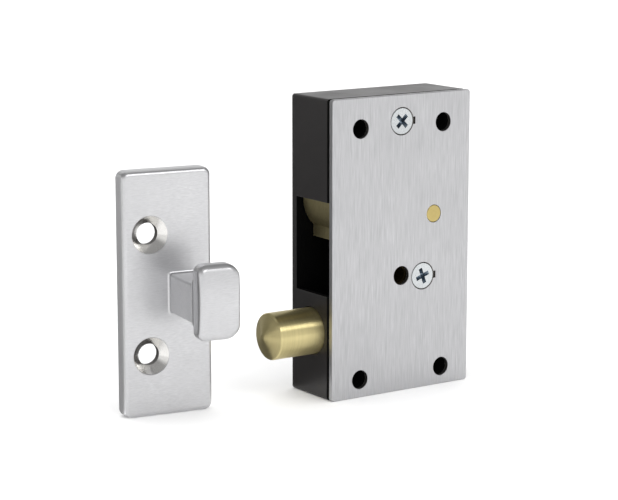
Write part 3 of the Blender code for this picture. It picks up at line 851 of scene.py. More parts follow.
# ---------------------------------------------------------------- sub-assemblies


@dataclass
class CaseLayout:
    """Where things are on the case, read from the frame where a node gives it."""

    bolt_spread: tuple[float, float] = (0.0343, 0.0851)
    bolt_low: float = 0.0062
    bolt_radius: float = 0.0032
    slot: tuple[float, float] = (0.0354, 0.0672)
    slot_depth: float = 0.0194
    wall: float = 0.002

    @property
    def low(self) -> Vector:
        """The case's lowest corner, front, left and bottom."""
        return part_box("case")[0]

    @property
    def high(self) -> Vector:
        """The case's highest corner, back, right and top."""
        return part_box("case")[1]

    def bolts(self) -> list[Point]:
        """The four bolt centres.

        Returns:
            Their X and Z.
        """
        side = self.bolt_spread[0] / 2
        low = self.low.z + self.bolt_low
        return [(x, z) for x in (-side, side) for z in (low, low + self.bolt_spread[1])]


@dataclass
class CaseShell:
    """The cast case: rounded outside, hollow inside, with its slot, bosses and holes."""

    layout: CaseLayout
    finish: Finish
    # Painted shade: a near-black, almost unreflecting enamel for the front rim and the inner walls.
    painted_shade_finish: Finish
    corner: float = 0.0010
    back_round: float = 0.0003
    rim_round: float = 0.0010
    boss_radius: float = 0.0044
    pivot_bore: float = 0.0030
    hub_bore: float = 0.0041
    post_bore: float = 0.00206
    pin_bore: float = 0.00186
    screw_sink: float = 0.0029
    screw_bore: float = 0.0016
    burr: float = 0.0001

    def build(self) -> bpy.types.Object:
        """Shapes and dresses the case.

        Returns:
            The piece.
        """
        low, high, wall = self.layout.low, self.layout.high, self.layout.wall
        depth = high.y - low.y
        outline = round_rectangle((low.x, low.z), (high.x, high.z), self.corner)
        solid = slab(outline, depth, self.rim_round, self.back_round)
        case = new_piece("case_shell", solid, self.from_back())
        inner = round_rectangle((low.x + wall, low.z + wall), (high.x - wall, high.z - wall), self.corner)
        hollow = new_piece("hollow", slab(inner, depth, 0.0001, self.corner / 2), self.from_back(-wall))
        carve(case, [hollow])
        carve(case, self.bosses(depth), join=True)
        carve(case, self.openings(depth))
        settle(case)
        self.finish.dress(case)
        # The front rim's rounding and the walls of the hollow, slot and bores get a near-black, almost
        # unreflecting enamel: painted shade for the gap shadow at the rim and the shade inside.
        shade = [f.index for f in case.data.polygons
                 if f.center.y < low.y + self.rim_round or self.is_inner(f.center, low, high)]
        dress_faces(case, self.painted_shade_finish, shade)
        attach(case, "case")
        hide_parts("case")
        return case

    def is_inner(self, spot: Vector, low: Vector, high: Vector, skin: float = 0.0005) -> bool:
        """Whether a point of the shell is on none of its outer sides.

        Args:
            spot: The point.
            low: The shell's lowest corner.
            high: The shell's highest corner.
            skin: How far inside the outer sides it has to be.

        Returns:
            True for the walls of the hollow, the slot and the bores.
        """
        inside = low.x + skin < spot.x < high.x - skin and low.z + skin < spot.z < high.z - skin
        return inside and spot.y < high.y - skin

    def from_back(self, shift: float = 0.0) -> Matrix:
        """The place of a slab whose own Z runs from the back towards the front."""
        return Matrix.Translation((0, self.layout.high.y + shift, 0)) @ Facing.FRONT.value

    def bosses(self, depth: float) -> list[bpy.types.Object]:
        """The four posts that the mounting bolts pass through.

        Args:
            depth: The case's depth.

        Returns:
            One tool for each.
        """
        tools = []
        for number, (x, z) in enumerate(self.layout.bolts()):
            top, root = depth - self.layout.wall / 2, self.boss_radius + 0.0006
            profile = [(0.0, top), (self.boss_radius - 0.0003, top), (self.boss_radius, top - 0.0003),
                       (self.boss_radius, 0.0018), (root, 0.0010), (root, 0.0), (0.0, 0.0)]
            spot = Vector((x, self.layout.high.y - self.layout.wall / 2, z))
            tools.append(new_piece(f"boss_{number}", turned(profile, 48), at(spot, Facing.FRONT)))
        return tools

    def openings(self, depth: float) -> list[bpy.types.Object]:
        """Cutters for the slot, the plunger's way, the bolts and the riveted ends.

        Args:
            depth: The case's depth.

        Returns:
            The cutters.
        """
        low, high, wall = self.layout.low, self.layout.high, self.layout.wall
        bottom, top = (low.z + height for height in self.layout.slot)
        rim = low.y + self.layout.slot_depth - 0.0003
        slot = block((low.x - wall, low.y - wall, bottom), (low.x + 1.5 * wall, rim, top))
        tools = [new_piece("slot_way", slot)]
        plunger = centre_of("plunger")
        face = Vector((low.x, plunger.y, plunger.z))
        radius = (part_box("plunger")[1].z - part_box("plunger")[0].z) / 2
        tools.append(hole_tool("plunger_way", radius + 0.00012, 2 * wall, 0.0003, at(face, Facing.LEFT)))
        rod = centre_of("guide_rod")
        rod_end = Vector((high.x, rod.y, rod.z))
        tools.append(hole_tool("rod_way", self.post_bore, 2 * wall, self.burr, at(rod_end, Facing.RIGHT)))
        for number, (x, z) in enumerate(self.layout.bolts()):
            spot = Vector((x, high.y, z))
            tools.append(hole_tool(f"bolt_way_{number}", self.layout.bolt_radius, 2 * depth, 0.00025,
                                   at(spot, Facing.BACK)))
        ends = {"lever_pivot_pin": self.pivot_bore, "release_hub": self.hub_bore,
                "pillar_top": self.post_bore, "pillar_lower": self.post_bore,
                "spring_anchor_pin": self.pin_bore, "lever_stop_pin": self.pin_bore}
        for node, hole in ends.items():
            spot = joint_spot("release_hub_turn") if node == "release_hub" else centre_of(node)
            place = at(Vector((spot.x, high.y, spot.z)), Facing.BACK)
            tools.append(hole_tool(node + "_way", hole, 2 * wall, self.burr, place))
        for node in ("guide_screw_upper", "guide_screw_lower"):
            spot = centre_of(node)
            sink, way, out = self.screw_sink, self.screw_bore, 0.0004
            profile = [(0.0, out), (sink + 0.0003, out), (sink, 0.0), (way, -0.0014), (way, -2 * wall),
                       (0.0, -2 * wall)]
            place = at(Vector((spot.x, high.y, spot.z)), Facing.BACK)
            tools.append(new_piece(node + "_way", turned(profile, 48), place))
        return tools


@dataclass
class FrontPlate:
    """The brushed cover plate with its bolt holes, countersinks and the pin's hole."""

    layout: CaseLayout
    finish: Finish
    hole_shade_finish: Finish
    corner: float = 0.0010
    front_round: float = 0.0003
    sink_radius: float = 0.00480
    sink_floor: float = 0.0032
    notch: tuple[float, float] = (0.0015, 0.0025)
    notch_depth: float = 0.0008
    pin_hole: float = 0.00302
    hole_margin: float = 0.0013
    back_skin: float = 0.0002

    def build(self) -> bpy.types.Object:
        """Shapes and dresses the plate.

        Returns:
            The piece.
        """
        low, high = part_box("front_plate")
        outline = round_rectangle((low.x, low.z), (high.x, high.z), self.corner)
        thickness = high.y - low.y
        place = Matrix.Translation((0, high.y, 0)) @ Facing.FRONT.value
        plate = new_piece("plate_face", slab(outline, thickness, self.front_round, 0.0001), place)
        carve(plate, self.cutters(low.y, thickness))
        settle(plate)
        self.finish.dress(plate)
        # The walls of the holes get a dark copy of the chrome: painted shade inside the holes.
        dark = [f.index for f in plate.data.polygons if self.in_hole(f.center, low, high)]
        dress_faces(plate, self.hole_shade_finish, dark)
        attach(plate, "case")
        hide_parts("front_plate")
        return plate

    def in_hole(self, spot: Vector, low: Vector, high: Vector) -> bool:
        """Whether a point of the plate is on the wall of a hole.

        Args:
            spot: The point.
            low: The plate's lowest corner.
            high: The plate's highest corner.

        Returns:
            True away from both faces and from the outer edge.
        """
        across = low.x + self.hole_margin < spot.x < high.x - self.hole_margin
        deep = low.y + self.front_round < spot.y < high.y - self.back_skin
        return across and deep and abs(spot.z) < high.z - 0.0015

    def cutters(self, face: float, thickness: float) -> list[bpy.types.Object]:
        """Everything that is cut out of the plate.

        Args:
            face: The front face's Y.
            thickness: The plate's thickness.

        Returns:
            The cutters.
        """
        hub, pivot = joint_spot("release_hub_turn"), joint_spot("latch_lift")
        holes = [(x, z, self.layout.bolt_radius) for x, z in self.layout.bolts()]
        holes += [(hub.x, hub.z, self.layout.bolt_radius), (pivot.x, pivot.z, self.pin_hole)]
        tools = []
        for number, (x, z, radius) in enumerate(holes):
            tools.append(hole_tool(f"hole_{number}", radius, 2 * thickness, 0.00012,
                                   at(Vector((x, face, z)), Facing.FRONT)))
        for node in ("cover_screw_top", "cover_screw_lower"):
            spot = centre_of(node)
            slope = self.sink_radius - self.sink_floor
            profile = [(0.0, thickness), (self.sink_radius + slope, thickness), (self.sink_floor, -thickness),
                       (0.0, -thickness)]
            place = at(Vector((spot.x, face, spot.z)), Facing.FRONT)
            tools.append(new_piece(node + "_sink", turned(profile, 96), place))
            left, half = spot.x + self.sink_radius - self.notch[0] / 2, self.notch[1] / 2
            notch = block((left, face - 0.001, spot.z - half),
                          (left + self.notch[0], face + self.notch_depth, spot.z + half))
            tools.append(new_piece(node + "_notch", notch))
        return tools


@dataclass
class CoverScrew:
    """A flat-head screw with a cross recess."""

    node: str
    finish: Finish
    recess_shade_finish: Finish
    turn: float
    head_radius: float = 0.00445
    shank_radius: float = 0.00225
    head_height: float = 0.0024
    wing: float = 0.0029
    wing_half: float = 0.00075
    recess_depth: float = 0.0018
    pitch: float = 0.0008

    def build(self) -> bpy.types.Object:
        """Shapes and dresses the screw.

        Returns:
            The piece.
        """
        low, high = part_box(self.node)
        length = high.y - low.y
        spot = centre_of(self.node)
        face = Vector((spot.x, low.y, spot.z))
        screw = new_piece(self.node + "_body", turned(self.profile(length)), at(face, Facing.FRONT))
        place = at(face, Facing.FRONT) @ Matrix.Rotation(radians(self.turn), 4, "Z")
        carve(screw, [new_piece("recess_a", self.recess_wing(), place),
                      new_piece("recess_b", self.recess_wing(), place @ Matrix.Rotation(pi / 2, 4, "Z"))])
        settle(screw)
        self.finish.dress(screw)
        # The cross recess gets a darker, blue-grey copy of the plating: painted shade in the recess.
        inside = [f.index for f in screw.data.polygons if self.in_recess(f.center, face)]
        dress_faces(screw, self.recess_shade_finish, inside)
        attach(screw, "case")
        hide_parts(self.node)
        return screw

    def in_recess(self, spot: Vector, face: Vector) -> bool:
        """Whether a face's middle lies in the cross recess.

        Args:
            spot: The face's middle.
            face: The middle of the head's top.

        Returns:
            True inside the recess.
        """
        off = spot - face
        deep = 0.00005 < off.y < self.recess_depth + 0.0001
        return deep and Vector((off.x, off.z)).length < self.wing

    def profile(self, length: float) -> list[Point]:
        """The screw's half outline, with the thread as shallow rings.

        Args:
            length: Its whole length.

        Returns:
            The profile from the head's centre to the point.
        """
        edge = 0.00012
        points = [(0.0, 0.0), (self.head_radius - edge, 0.0), (self.head_radius, -edge),
                  (self.head_radius, -0.00025), (self.shank_radius, -self.head_height)]
        pitch, crest, thread = self.pitch, self.shank_radius, 0.00035
        turns = int((length - self.head_height - 0.0012) / pitch)
        for number in range(turns):
            start = -self.head_height - 0.0003 - number * pitch
            points += [(crest, start), (crest - thread, start - pitch * 0.45), (crest, start - pitch * 0.9)]
        return points + [(crest - 0.0006, -length), (0.0, -length)]

    def recess_wing(self) -> bmesh.types.BMesh:
        """One tapered bar of the cross recess.

        Returns:
            The bmesh, its top just above the head.
        """
        half = self.wing_half
        shape = block((-self.wing, -half, -self.recess_depth), (self.wing, half, 0.0002))
        floor = [v for v in shape.verts if v.co.z < 0]
        bmesh.ops.scale(shape, vec=(0.5, 0.5, 1.0), verts=floor)
        return shape


@dataclass
class PivotPin:
    """The brass pin whose end shows in the plate."""

    finish: Finish
    edge: float = 0.00018

    def build(self) -> bpy.types.Object:
        """Shapes and dresses the pin.

        Returns:
            The piece.
        """
        low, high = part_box("lever_pivot_pin")
        radius, length = (high.x - low.x) / 2, high.y - low.y
        profile = [(0.0, 0.0), (radius - self.edge, 0.0), (radius, -self.edge), (radius, -length + self.edge),
                   (radius - self.edge, -length), (0.0, -length)]
        spot = joint_spot("latch_lift")
        pin = new_piece("pivot_pin_body", turned(profile), at(Vector((spot.x, low.y, spot.z)), Facing.FRONT))
        settle(pin)
        self.finish.dress(pin)
        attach(pin, "case")
        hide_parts("lever_pivot_pin")
        return pin


@dataclass
class HookLever:
    """The cast lever: a rounded nose with a barb on a thinner arm."""

    finish: Finish
    hub_radius: float = 0.0080
    bore: float = 0.00302
    arm: tuple[float, float] = (0.0060, 0.0150)
    nose: tuple[float, float] = (0.0022, 0.0192)
    arm_left: float = 0.0200
    soft: float = 0.00035

    def outline(self) -> list[Point]:
        """The lever's outline about its pivot, clockwise from the nose's left side.

        Returns:
            The points.
        """
        pivot = (0.0421, 0.0601)
        nose_low, nose_high = (0.0154, 0.0665), (0.0119, 0.0675)
        around = arc(nose_low, 0.0130, 180, 227, 20)
        lip_x = around[-1][0]
        around += [(lip_x, 0.0530), (0.0112, 0.0530), (0.0112, 0.0652), (0.0192, 0.0652), (0.0192, 0.0554)]
        around += [(0.0227, 0.0463), (0.0315, 0.0463)]
        around += arc(pivot, self.hub_radius, 232, 318, 18)
        around += [(0.0524, 0.0562), (0.0524, 0.0640), (0.0482, 0.0640)]
        around += arc(pivot, self.hub_radius, 46, 100, 12)
        around += [(0.0200, 0.0770)]
        around += arc(nose_high, 0.0095, 90, 180, 20)
        return [(x - pivot[0], z - pivot[1]) for x, z in around]

    def build(self) -> bpy.types.Object:
        """Shapes and dresses the lever.

        Returns:
            The piece.
        """
        spot = joint_spot("latch_lift")
        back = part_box("latch_lever")[1].y
        thick = self.nose[1] - self.nose[0]
        place = Matrix.Translation((spot.x, back, spot.z)) @ Facing.FRONT.value
        lever = new_piece("hook_lever", slab(self.outline(), thick, self.soft, self.soft, 3), place)
        front = back - thick
        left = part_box("case")[0].x + self.arm_left
        cuts = [(front - 0.002, front + self.arm[0] - self.nose[0]),
                (back - self.nose[1] + self.arm[1], back + 0.002)]
        tools = [new_piece(f"arm_cut_{number}", block((left, near, -0.03), (0.04, far, 0.06)))
                 for number, (near, far) in enumerate(cuts)]
        bore_face = Vector((spot.x, front + self.arm[0] - self.nose[0], spot.z))
        tools.append(hole_tool("lever_bore", self.bore, 0.02, 0.0003, at(bore_face, Facing.FRONT)))
        carve(lever, tools)
        settle(lever)
        self.finish.dress(lever)
        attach(lever, "lever")
        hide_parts("latch_lever")
        return lever


@dataclass
class Plunger:
    """The turned bolt with its blunt cone and its ring."""

    finish: Finish
    ring_finish: Finish
    cone: float = 0.0026
    rim: float = 0.0007
    tip: float = 0.0016
    tail: float = 0.0340
    tail_edge: float = 0.0004
    bore_radius: float = 0.0052
    bore_end: float = -0.0100
    groove: tuple[float, float, float] = (0.0025, 0.0037, 0.0072)

    def profile(self, apex: float, radius: float) -> list[Point]:
        """The bolt's half outline, heights counted to the left of the case's side.

        Args:
            apex: The height of the cone's point.
            radius: The bolt's radius.

        Returns:
            The profile from the point to the floor of the bore.
        """
        shoulder = apex - self.cone
        slope = atan2(self.cone, radius)
        points = [(0.0, apex)]
        fall = self.tip * 0.18
        points += [(self.tip * sin(a), apex - fall * (1 - cos(a))) for a in (pi / 6, pi / 3, pi / 2)]
        centre = (radius - self.rim, shoulder - self.rim * 0.55)
        points += arc(centre, self.rim, 90 - degrees(slope), 0, 7)
        near, far, floor = self.groove
        points += [(radius, -near), (floor, -near), (floor, -far), (radius, -far)]
        points += [(radius, -self.tail + self.tail_edge), (radius - self.tail_edge, -self.tail),
                   (self.bore_radius, -self.tail)]
        return points + [(self.bore_radius, -self.bore_end), (0.0, -self.bore_end)]

    def build(self) -> list[bpy.types.Object]:
        """Shapes and dresses the bolt and its ring.

        Returns:
            The two pieces.
        """
        low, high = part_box("plunger")
        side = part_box("case")[0].x
        spot = Vector((side, (low.y + high.y) / 2, (low.z + high.z) / 2))
        bolt = new_piece("plunger_bolt", turned(self.profile(side - low.x, (high.z - low.z) / 2), 128),
                         at(spot, Facing.LEFT))
        settle(bolt, 28)
        self.finish.dress(bolt)
        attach(bolt, "plunger")
        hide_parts("plunger")
        return [bolt, self.build_ring(spot)]

    def build_ring(self, spot: Vector) -> bpy.types.Object:
        """The retaining ring in the bolt's groove, with its open gap.

        Args:
            spot: Where the bolt's axis meets the case's side.

        Returns:
            The piece.
        """
        low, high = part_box("plunger_ring")
        outer, inner = (high.z - low.z) / 2, self.groove[2] + 0.0001
        thick = high.x - low.x
        shape = turned([(outer, 0.0), (inner, 0.0), (inner, thick), (outer, thick)], 64)
        ring = new_piece("plunger_retaining_ring", shape, at(Vector((high.x, spot.y, spot.z)), Facing.LEFT))
        gap = new_piece("ring_gap", block((low.x - 0.001, spot.y - 0.003, spot.z),
                                          (high.x + 0.001, spot.y + 0.003, spot.z + 0.02)))
        carve(ring, [gap])
        settle(ring)
        self.ring_finish.dress(ring)
        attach(ring, "plunger")
        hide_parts("plunger_ring")
        return ring


@dataclass
class Keeper:
    """The cast keeper: a softened plate with two countersinks, and a hook on it."""

    plate_finish: Finish
    bore_shade_finish: Finish
    sink_light_finish: Finish
    side_light_finish: Finish
    size: tuple[float, float, float] = (0.0310, 0.0060, 0.0811)
    corner: float = 0.0026
    front_round: float = 0.0017
    hole_x: float = 0.0095
    holes: tuple[float, float] = (0.0202, 0.0602)
    hole_radius: float = 0.0036
    sink_radius: float = 0.0061
    stem_left: float = 0.0160
    stem_width: float = 0.0110
    stem: tuple[float, float] = (0.0340, 0.0470)
    stem_length: float = 0.0189
    root: float = 0.0007
    head_left: float = 0.0160
    head_width: float = 0.0137
    head: tuple[float, float] = (0.0290, 0.0536)
    head_thickness: float = 0.0067
    head_corners: Point = (0.0028, 0.0040)
    edge: float = 0.0021
    crown: float = 0.0012
    bulge: float = 0.0013

    def stand(self) -> Matrix:
        """The keeper's own frame, from the mount on its back.

        Returns:
            A matrix whose origin is the plate's front lower left corner.
        """
        mount = next(m for m in frame["record"]["mounts"] if m["name"] == "keeper_back")
        back, normal = Vector(mount["pos_m"]), Vector(mount["axis"])
        across = normal.cross(Vector((0, 0, 1)))
        turn = Matrix((across, normal, Vector((0, 0, 1)))).transposed().to_4x4()
        middle = Vector((self.size[0] / 2, self.size[1], self.size[2] / 2))
        return Matrix.Translation(back) @ turn @ Matrix.Translation(-middle)

    def build(self) -> bpy.types.Object:
        """Shapes and dresses the keeper.

        Returns:
            The piece.
        """
        stand = self.stand()
        width, thick, height = self.size
        outline = round_rectangle((0, 0), (width, height), self.corner)
        from_back = stand @ Matrix.Translation((0, thick, 0)) @ Facing.FRONT.value
        keeper = new_piece("keeper_casting", slab(outline, thick, self.front_round, 0.0004, 5), from_back)
        carve(keeper, [new_piece("hook", self.hook(), stand)], join=True)
        carve(keeper, [self.sink_tool(number, up, stand) for number, up in enumerate(self.holes)])
        settle(keeper, 40)
        self.plate_finish.dress(keeper)
        inverse = stand.inverted()
        spots = {f.index: inverse @ f.center for f in keeper.data.polygons}
        # The bores' walls get a dark copy of the chrome: painted shade inside the holes.
        bore = [number for number, spot in spots.items() if self.in_hole(spot, self.hole_radius)]
        dress_faces(keeper, self.bore_shade_finish, bore)
        # The countersinks get a smoother, turned chrome whose colour is made lighter than the plate's: a real
        # finish with a painted highlight.
        cone = [number for number, spot in spots.items() if self.in_hole(spot, self.sink_radius)]
        dress_faces(keeper, self.sink_light_finish, set(cone) - set(bore))
        # The four narrow sides get a much lighter copy of the chrome: painted light on the sides.
        sides = [number for number, spot in spots.items() if self.on_side(spot)]
        dress_faces(keeper, self.side_light_finish, sides)
        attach(keeper, "keeper")
        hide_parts("keeper")
        return keeper

    def on_side(self, spot: Vector, skin: float = 0.0004) -> bool:
        """Whether a point is on one of the plate's four narrow sides.

        Args:
            spot: The point, in the keeper's frame.
            skin: How far in from the side it may be.

        Returns:
            True on a side.
        """
        width, thick, height = self.size
        edge = min(spot.x, width - spot.x, spot.z, height - spot.z)
        return edge < skin and 0 < spot.y < thick

    def in_hole(self, spot: Vector, radius: float) -> bool:
        """Whether a point below the plate's face lies within a radius of one of the holes.

        Args:
            spot: The point, in the keeper's frame.
            radius: The radius.

        Returns:
            True inside it.
        """
        near = min(Vector((spot.x - self.hole_x, spot.z - up)).length for up in self.holes)
        return near < radius + 0.0001 and 0.0002 < spot.y < self.size[1] - 0.0001

    def sink_tool(self, number: int, up: float, stand: Matrix) -> bpy.types.Object:
        """The cutter of one countersunk hole.

        Args:
            number: Which hole it is.
            up: Its height above the keeper's lower end.
            stand: The keeper's frame.

        Returns:
            The cutter.
        """
        lip, fall = 0.00025, self.sink_radius - self.hole_radius
        out, through = 0.001, -0.008
        profile = [(0.0, out), (self.sink_radius + lip + out, out), (self.sink_radius + lip, 0.0),
                   (self.sink_radius, -lip), (self.hole_radius, -fall - lip), (self.hole_radius, through),
                   (0.0, through)]
        place = stand @ Matrix.Translation((self.hole_x, 0, up)) @ Facing.FRONT.value
        return new_piece(f"sink_{number}", turned(profile, 96), place)

    def stem_section(self, grow: float) -> list[Point]:
        """The stem's outline, in the keeper's X and Z.

        Args:
            grow: How far it stands out of the plain stem.

        Returns:
            The outline, with as many points as the head's.
        """
        low = (self.stem_left - grow, self.stem[0] - grow)
        high = (self.stem_left + self.stem_width + grow, self.stem[1] + grow)
        return round_rectangle(low, high, 0.0010 + grow / 2, 7)

    def head_section(self, less: float) -> list[Point]:
        """The head's outline: small corners on the left, large ones and a bulge on the right.

        Args:
            less: How far it is drawn in from the head's full outline.

        Returns:
            The outline, with as many points as the stem's.
        """
        left, right = self.head_left + less, self.head_left + self.head_width - less
        low, high = self.head[0] + less, self.head[1] - less
        near, far = (max(radius - less, 0.0004) for radius in self.head_corners)
        outline = arc((left + near, low + near), near, 180, 270, 7)
        outline += arc((right - far, low + far), far, 270, 360, 7)
        outline += arc((right - far, high - far), far, 0, 90, 7)
        outline += arc((left + near, high - near), near, 90, 180, 7)
        middle, half = (low + high) / 2, (high - low) / 2
        spread = [(x - left) / (right - left) * (1 - ((z - middle) / half) ** 2) for x, z in outline]
        return [(x + self.bulge * share, z) for (x, z), share in zip(outline, spread)]

    def hook(self) -> bmesh.types.BMesh:
        """The stem and head as bridged sections, from inside the plate to the crowned face.

        Returns:
            The bmesh, in the keeper's frame.
        """
        shape = bmesh.new()
        start, front = -self.stem_length, -self.stem_length - self.head_thickness
        quarter = [pi / 2 * step / 4 for step in range(5)]
        flare = [(self.root * (1 - sin(a)), -self.root * (1 - cos(a))) for a in quarter]
        stations = [(self.size[1] / 2, self.stem_section(self.root))]
        stations += [(y, self.stem_section(grow)) for grow, y in flare]
        stations += [(start + 0.0008, self.stem_section(0.0)), (start + 0.0001, self.stem_section(0.0003))]
        back_edge = 0.6 * self.edge
        stations += [(start - back_edge * (1 - cos(a)), self.head_section(back_edge * (1 - sin(a))))
                     for a in quarter]
        stations += [(front + self.edge * (1 - sin(a)), self.head_section(self.edge * (1 - cos(a))))
                     for a in quarter]
        loops = [self.ring(shape, y, section) for y, section in stations]
        for near, far in zip(loops, loops[1:]):
            bmesh.ops.bridge_loops(shape, edges=near + far)
        for loop in (loops[0], loops[-1]):
            bmesh.ops.holes_fill(shape, edges=loop, sides=0)
        self.crown_head(shape, start)
        return shape

    def ring(self, shape: bmesh.types.BMesh, y: float, section: list[Point]) -> list[bmesh.types.BMEdge]:
        """Adds one section's closed loop of edges.

        Args:
            shape: The bmesh.
            y: Where the section is, along the keeper's Y.
            section: Its outline.

        Returns:
            Its edges.
        """
        verts = [shape.verts.new((x, y, z)) for x, z in section]
        return [shape.edges.new((a, b)) for a, b in zip(verts, verts[1:] + verts[:1])]

    def crown_head(self, shape: bmesh.types.BMesh, start: float) -> None:
        """Cuts the head's face into rows and lets them fall back towards both ends.

        Args:
            shape: The bmesh.
            start: The Y of the head's back.
        """
        middle, half = (self.head[0] + self.head[1]) / 2, (self.head[1] - self.head[0]) / 2
        for step in range(-9, 10):
            faces = [f for f in shape.faces if f.calc_center_median().y < start - 0.001]
            parts = [*shape.verts, *shape.edges, *faces]
            parts = [p for p in parts if isinstance(p, bmesh.types.BMFace) or all(
                v.co.y < start - 0.001 for v in ([p] if isinstance(p, bmesh.types.BMVert) else p.verts))]
            level = (0, 0, middle + half * step / 10)
            bmesh.ops.bisect_plane(shape, geom=parts, plane_co=level, plane_no=(0, 0, 1))
        for vert in shape.verts:
            depth = (start - vert.co.y) / self.head_thickness
            if depth > 0.05:
                vert.co.y += self.crown * depth * ((vert.co.z - middle) / half) ** 2


@dataclass
class Inside:
    """What the case holds: nodes that keep their shape, and two springs."""

    # The hub's finish: a very dark copy of the brass, painted shade for the hub inside the case.
    brass: Finish
    steel: Finish
    plated: Finish
    plain: tuple[str, ...] = ("pillar_top", "pillar_lower", "lever_spacer_front", "lever_spacer_rear",
                              "spring_anchor_pin", "lever_stop_pin", "plunger_guide", "guide_screw_upper",
                              "guide_screw_lower", "guide_rod")
    spring_turns: int = 11
    spring_radius: float = 0.0040
    wire_radius: float = 0.0005
    arm_reach: tuple[float, float] = (0.0060, 0.0150)

    def build(self) -> list[bpy.types.Object]:
        """Dresses the kept nodes and builds the two springs.

        Returns:
            The pieces that were dressed or made.
        """
        nodes = frame["nodes"]
        for name in self.plain:
            self.plated.dress(nodes[name])
            nodes[name].data.shade_smooth()
            nodes[name].data.set_sharp_from_angle(angle=radians(32))
        # The hub is dressed in a very dark copy of the brass: painted shade on the hub inside the case.
        self.brass.dress(nodes["release_hub"])
        return [nodes[name] for name in self.plain] + [self.plunger_spring(), self.return_spring()]

    def plunger_spring(self) -> bpy.types.Object:
        """The compression spring, a small circle spun along the plunger's axis.

        Returns:
            The piece.
        """
        low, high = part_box("plunger_spring")
        steps = self.spring_turns * 40
        length = high.x - low.x - 2 * self.wire_radius
        shape = bmesh.new()
        made = bmesh.ops.create_circle(shape, cap_ends=False, segments=12, radius=self.wire_radius)
        turn = Matrix.Rotation(pi / 2, 4, "X")
        bmesh.ops.transform(shape, matrix=turn, verts=made["verts"])
        bmesh.ops.translate(shape, vec=(self.spring_radius, 0, 0), verts=made["verts"])
        bmesh.ops.spin(shape, geom=list(shape.verts) + list(shape.edges), cent=(0, 0, 0), axis=(0, 0, 1),
                       dvec=(0, 0, length / steps), angle=2 * pi * self.spring_turns, steps=steps,
                       use_merge=False)
        bmesh.ops.holes_fill(shape, edges=[e for e in shape.edges if e.is_boundary], sides=0)
        spot = Vector((low.x + self.wire_radius, (low.y + high.y) / 2, (low.z + high.z) / 2))
        spring = new_piece("plunger_spring_coil", shape, at(spot, Facing.RIGHT))
        settle(spring, 60)
        self.steel.dress(spring)
        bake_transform(spring)
        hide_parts("plunger_spring")
        return spring

    def return_spring(self) -> bpy.types.Object:
        """The torsion spring, copied from the frame's mesh.

        Returns:
            The piece.
        """
        shape = bmesh.new()
        shape.from_mesh(frame["nodes"]["lever_return_spring"].data)
        spring = new_piece("lever_torsion_spring", shape)
        settle(spring, 60)
        self.steel.dress(spring)
        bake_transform(spring)
        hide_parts("lever_return_spring")
        return spring


def paper(name: str, grey: float) -> bpy.types.Material:
    """The matt paper of the studio.

    Args:
        name: The material's name.
        grey: How light it is.

    Returns:
        The material.
    """
    surface = bpy.data.materials.new(name)
    surface.use_nodes = True
    shader = surface.node_tree.nodes["Principled BSDF"]
    shader.inputs["Base Color"].default_value = (grey, grey, grey, 1.0)
    shader.inputs["Roughness"].default_value = 0.9
    shader.inputs["Specular IOR Level"].default_value = 0.1
    return surface


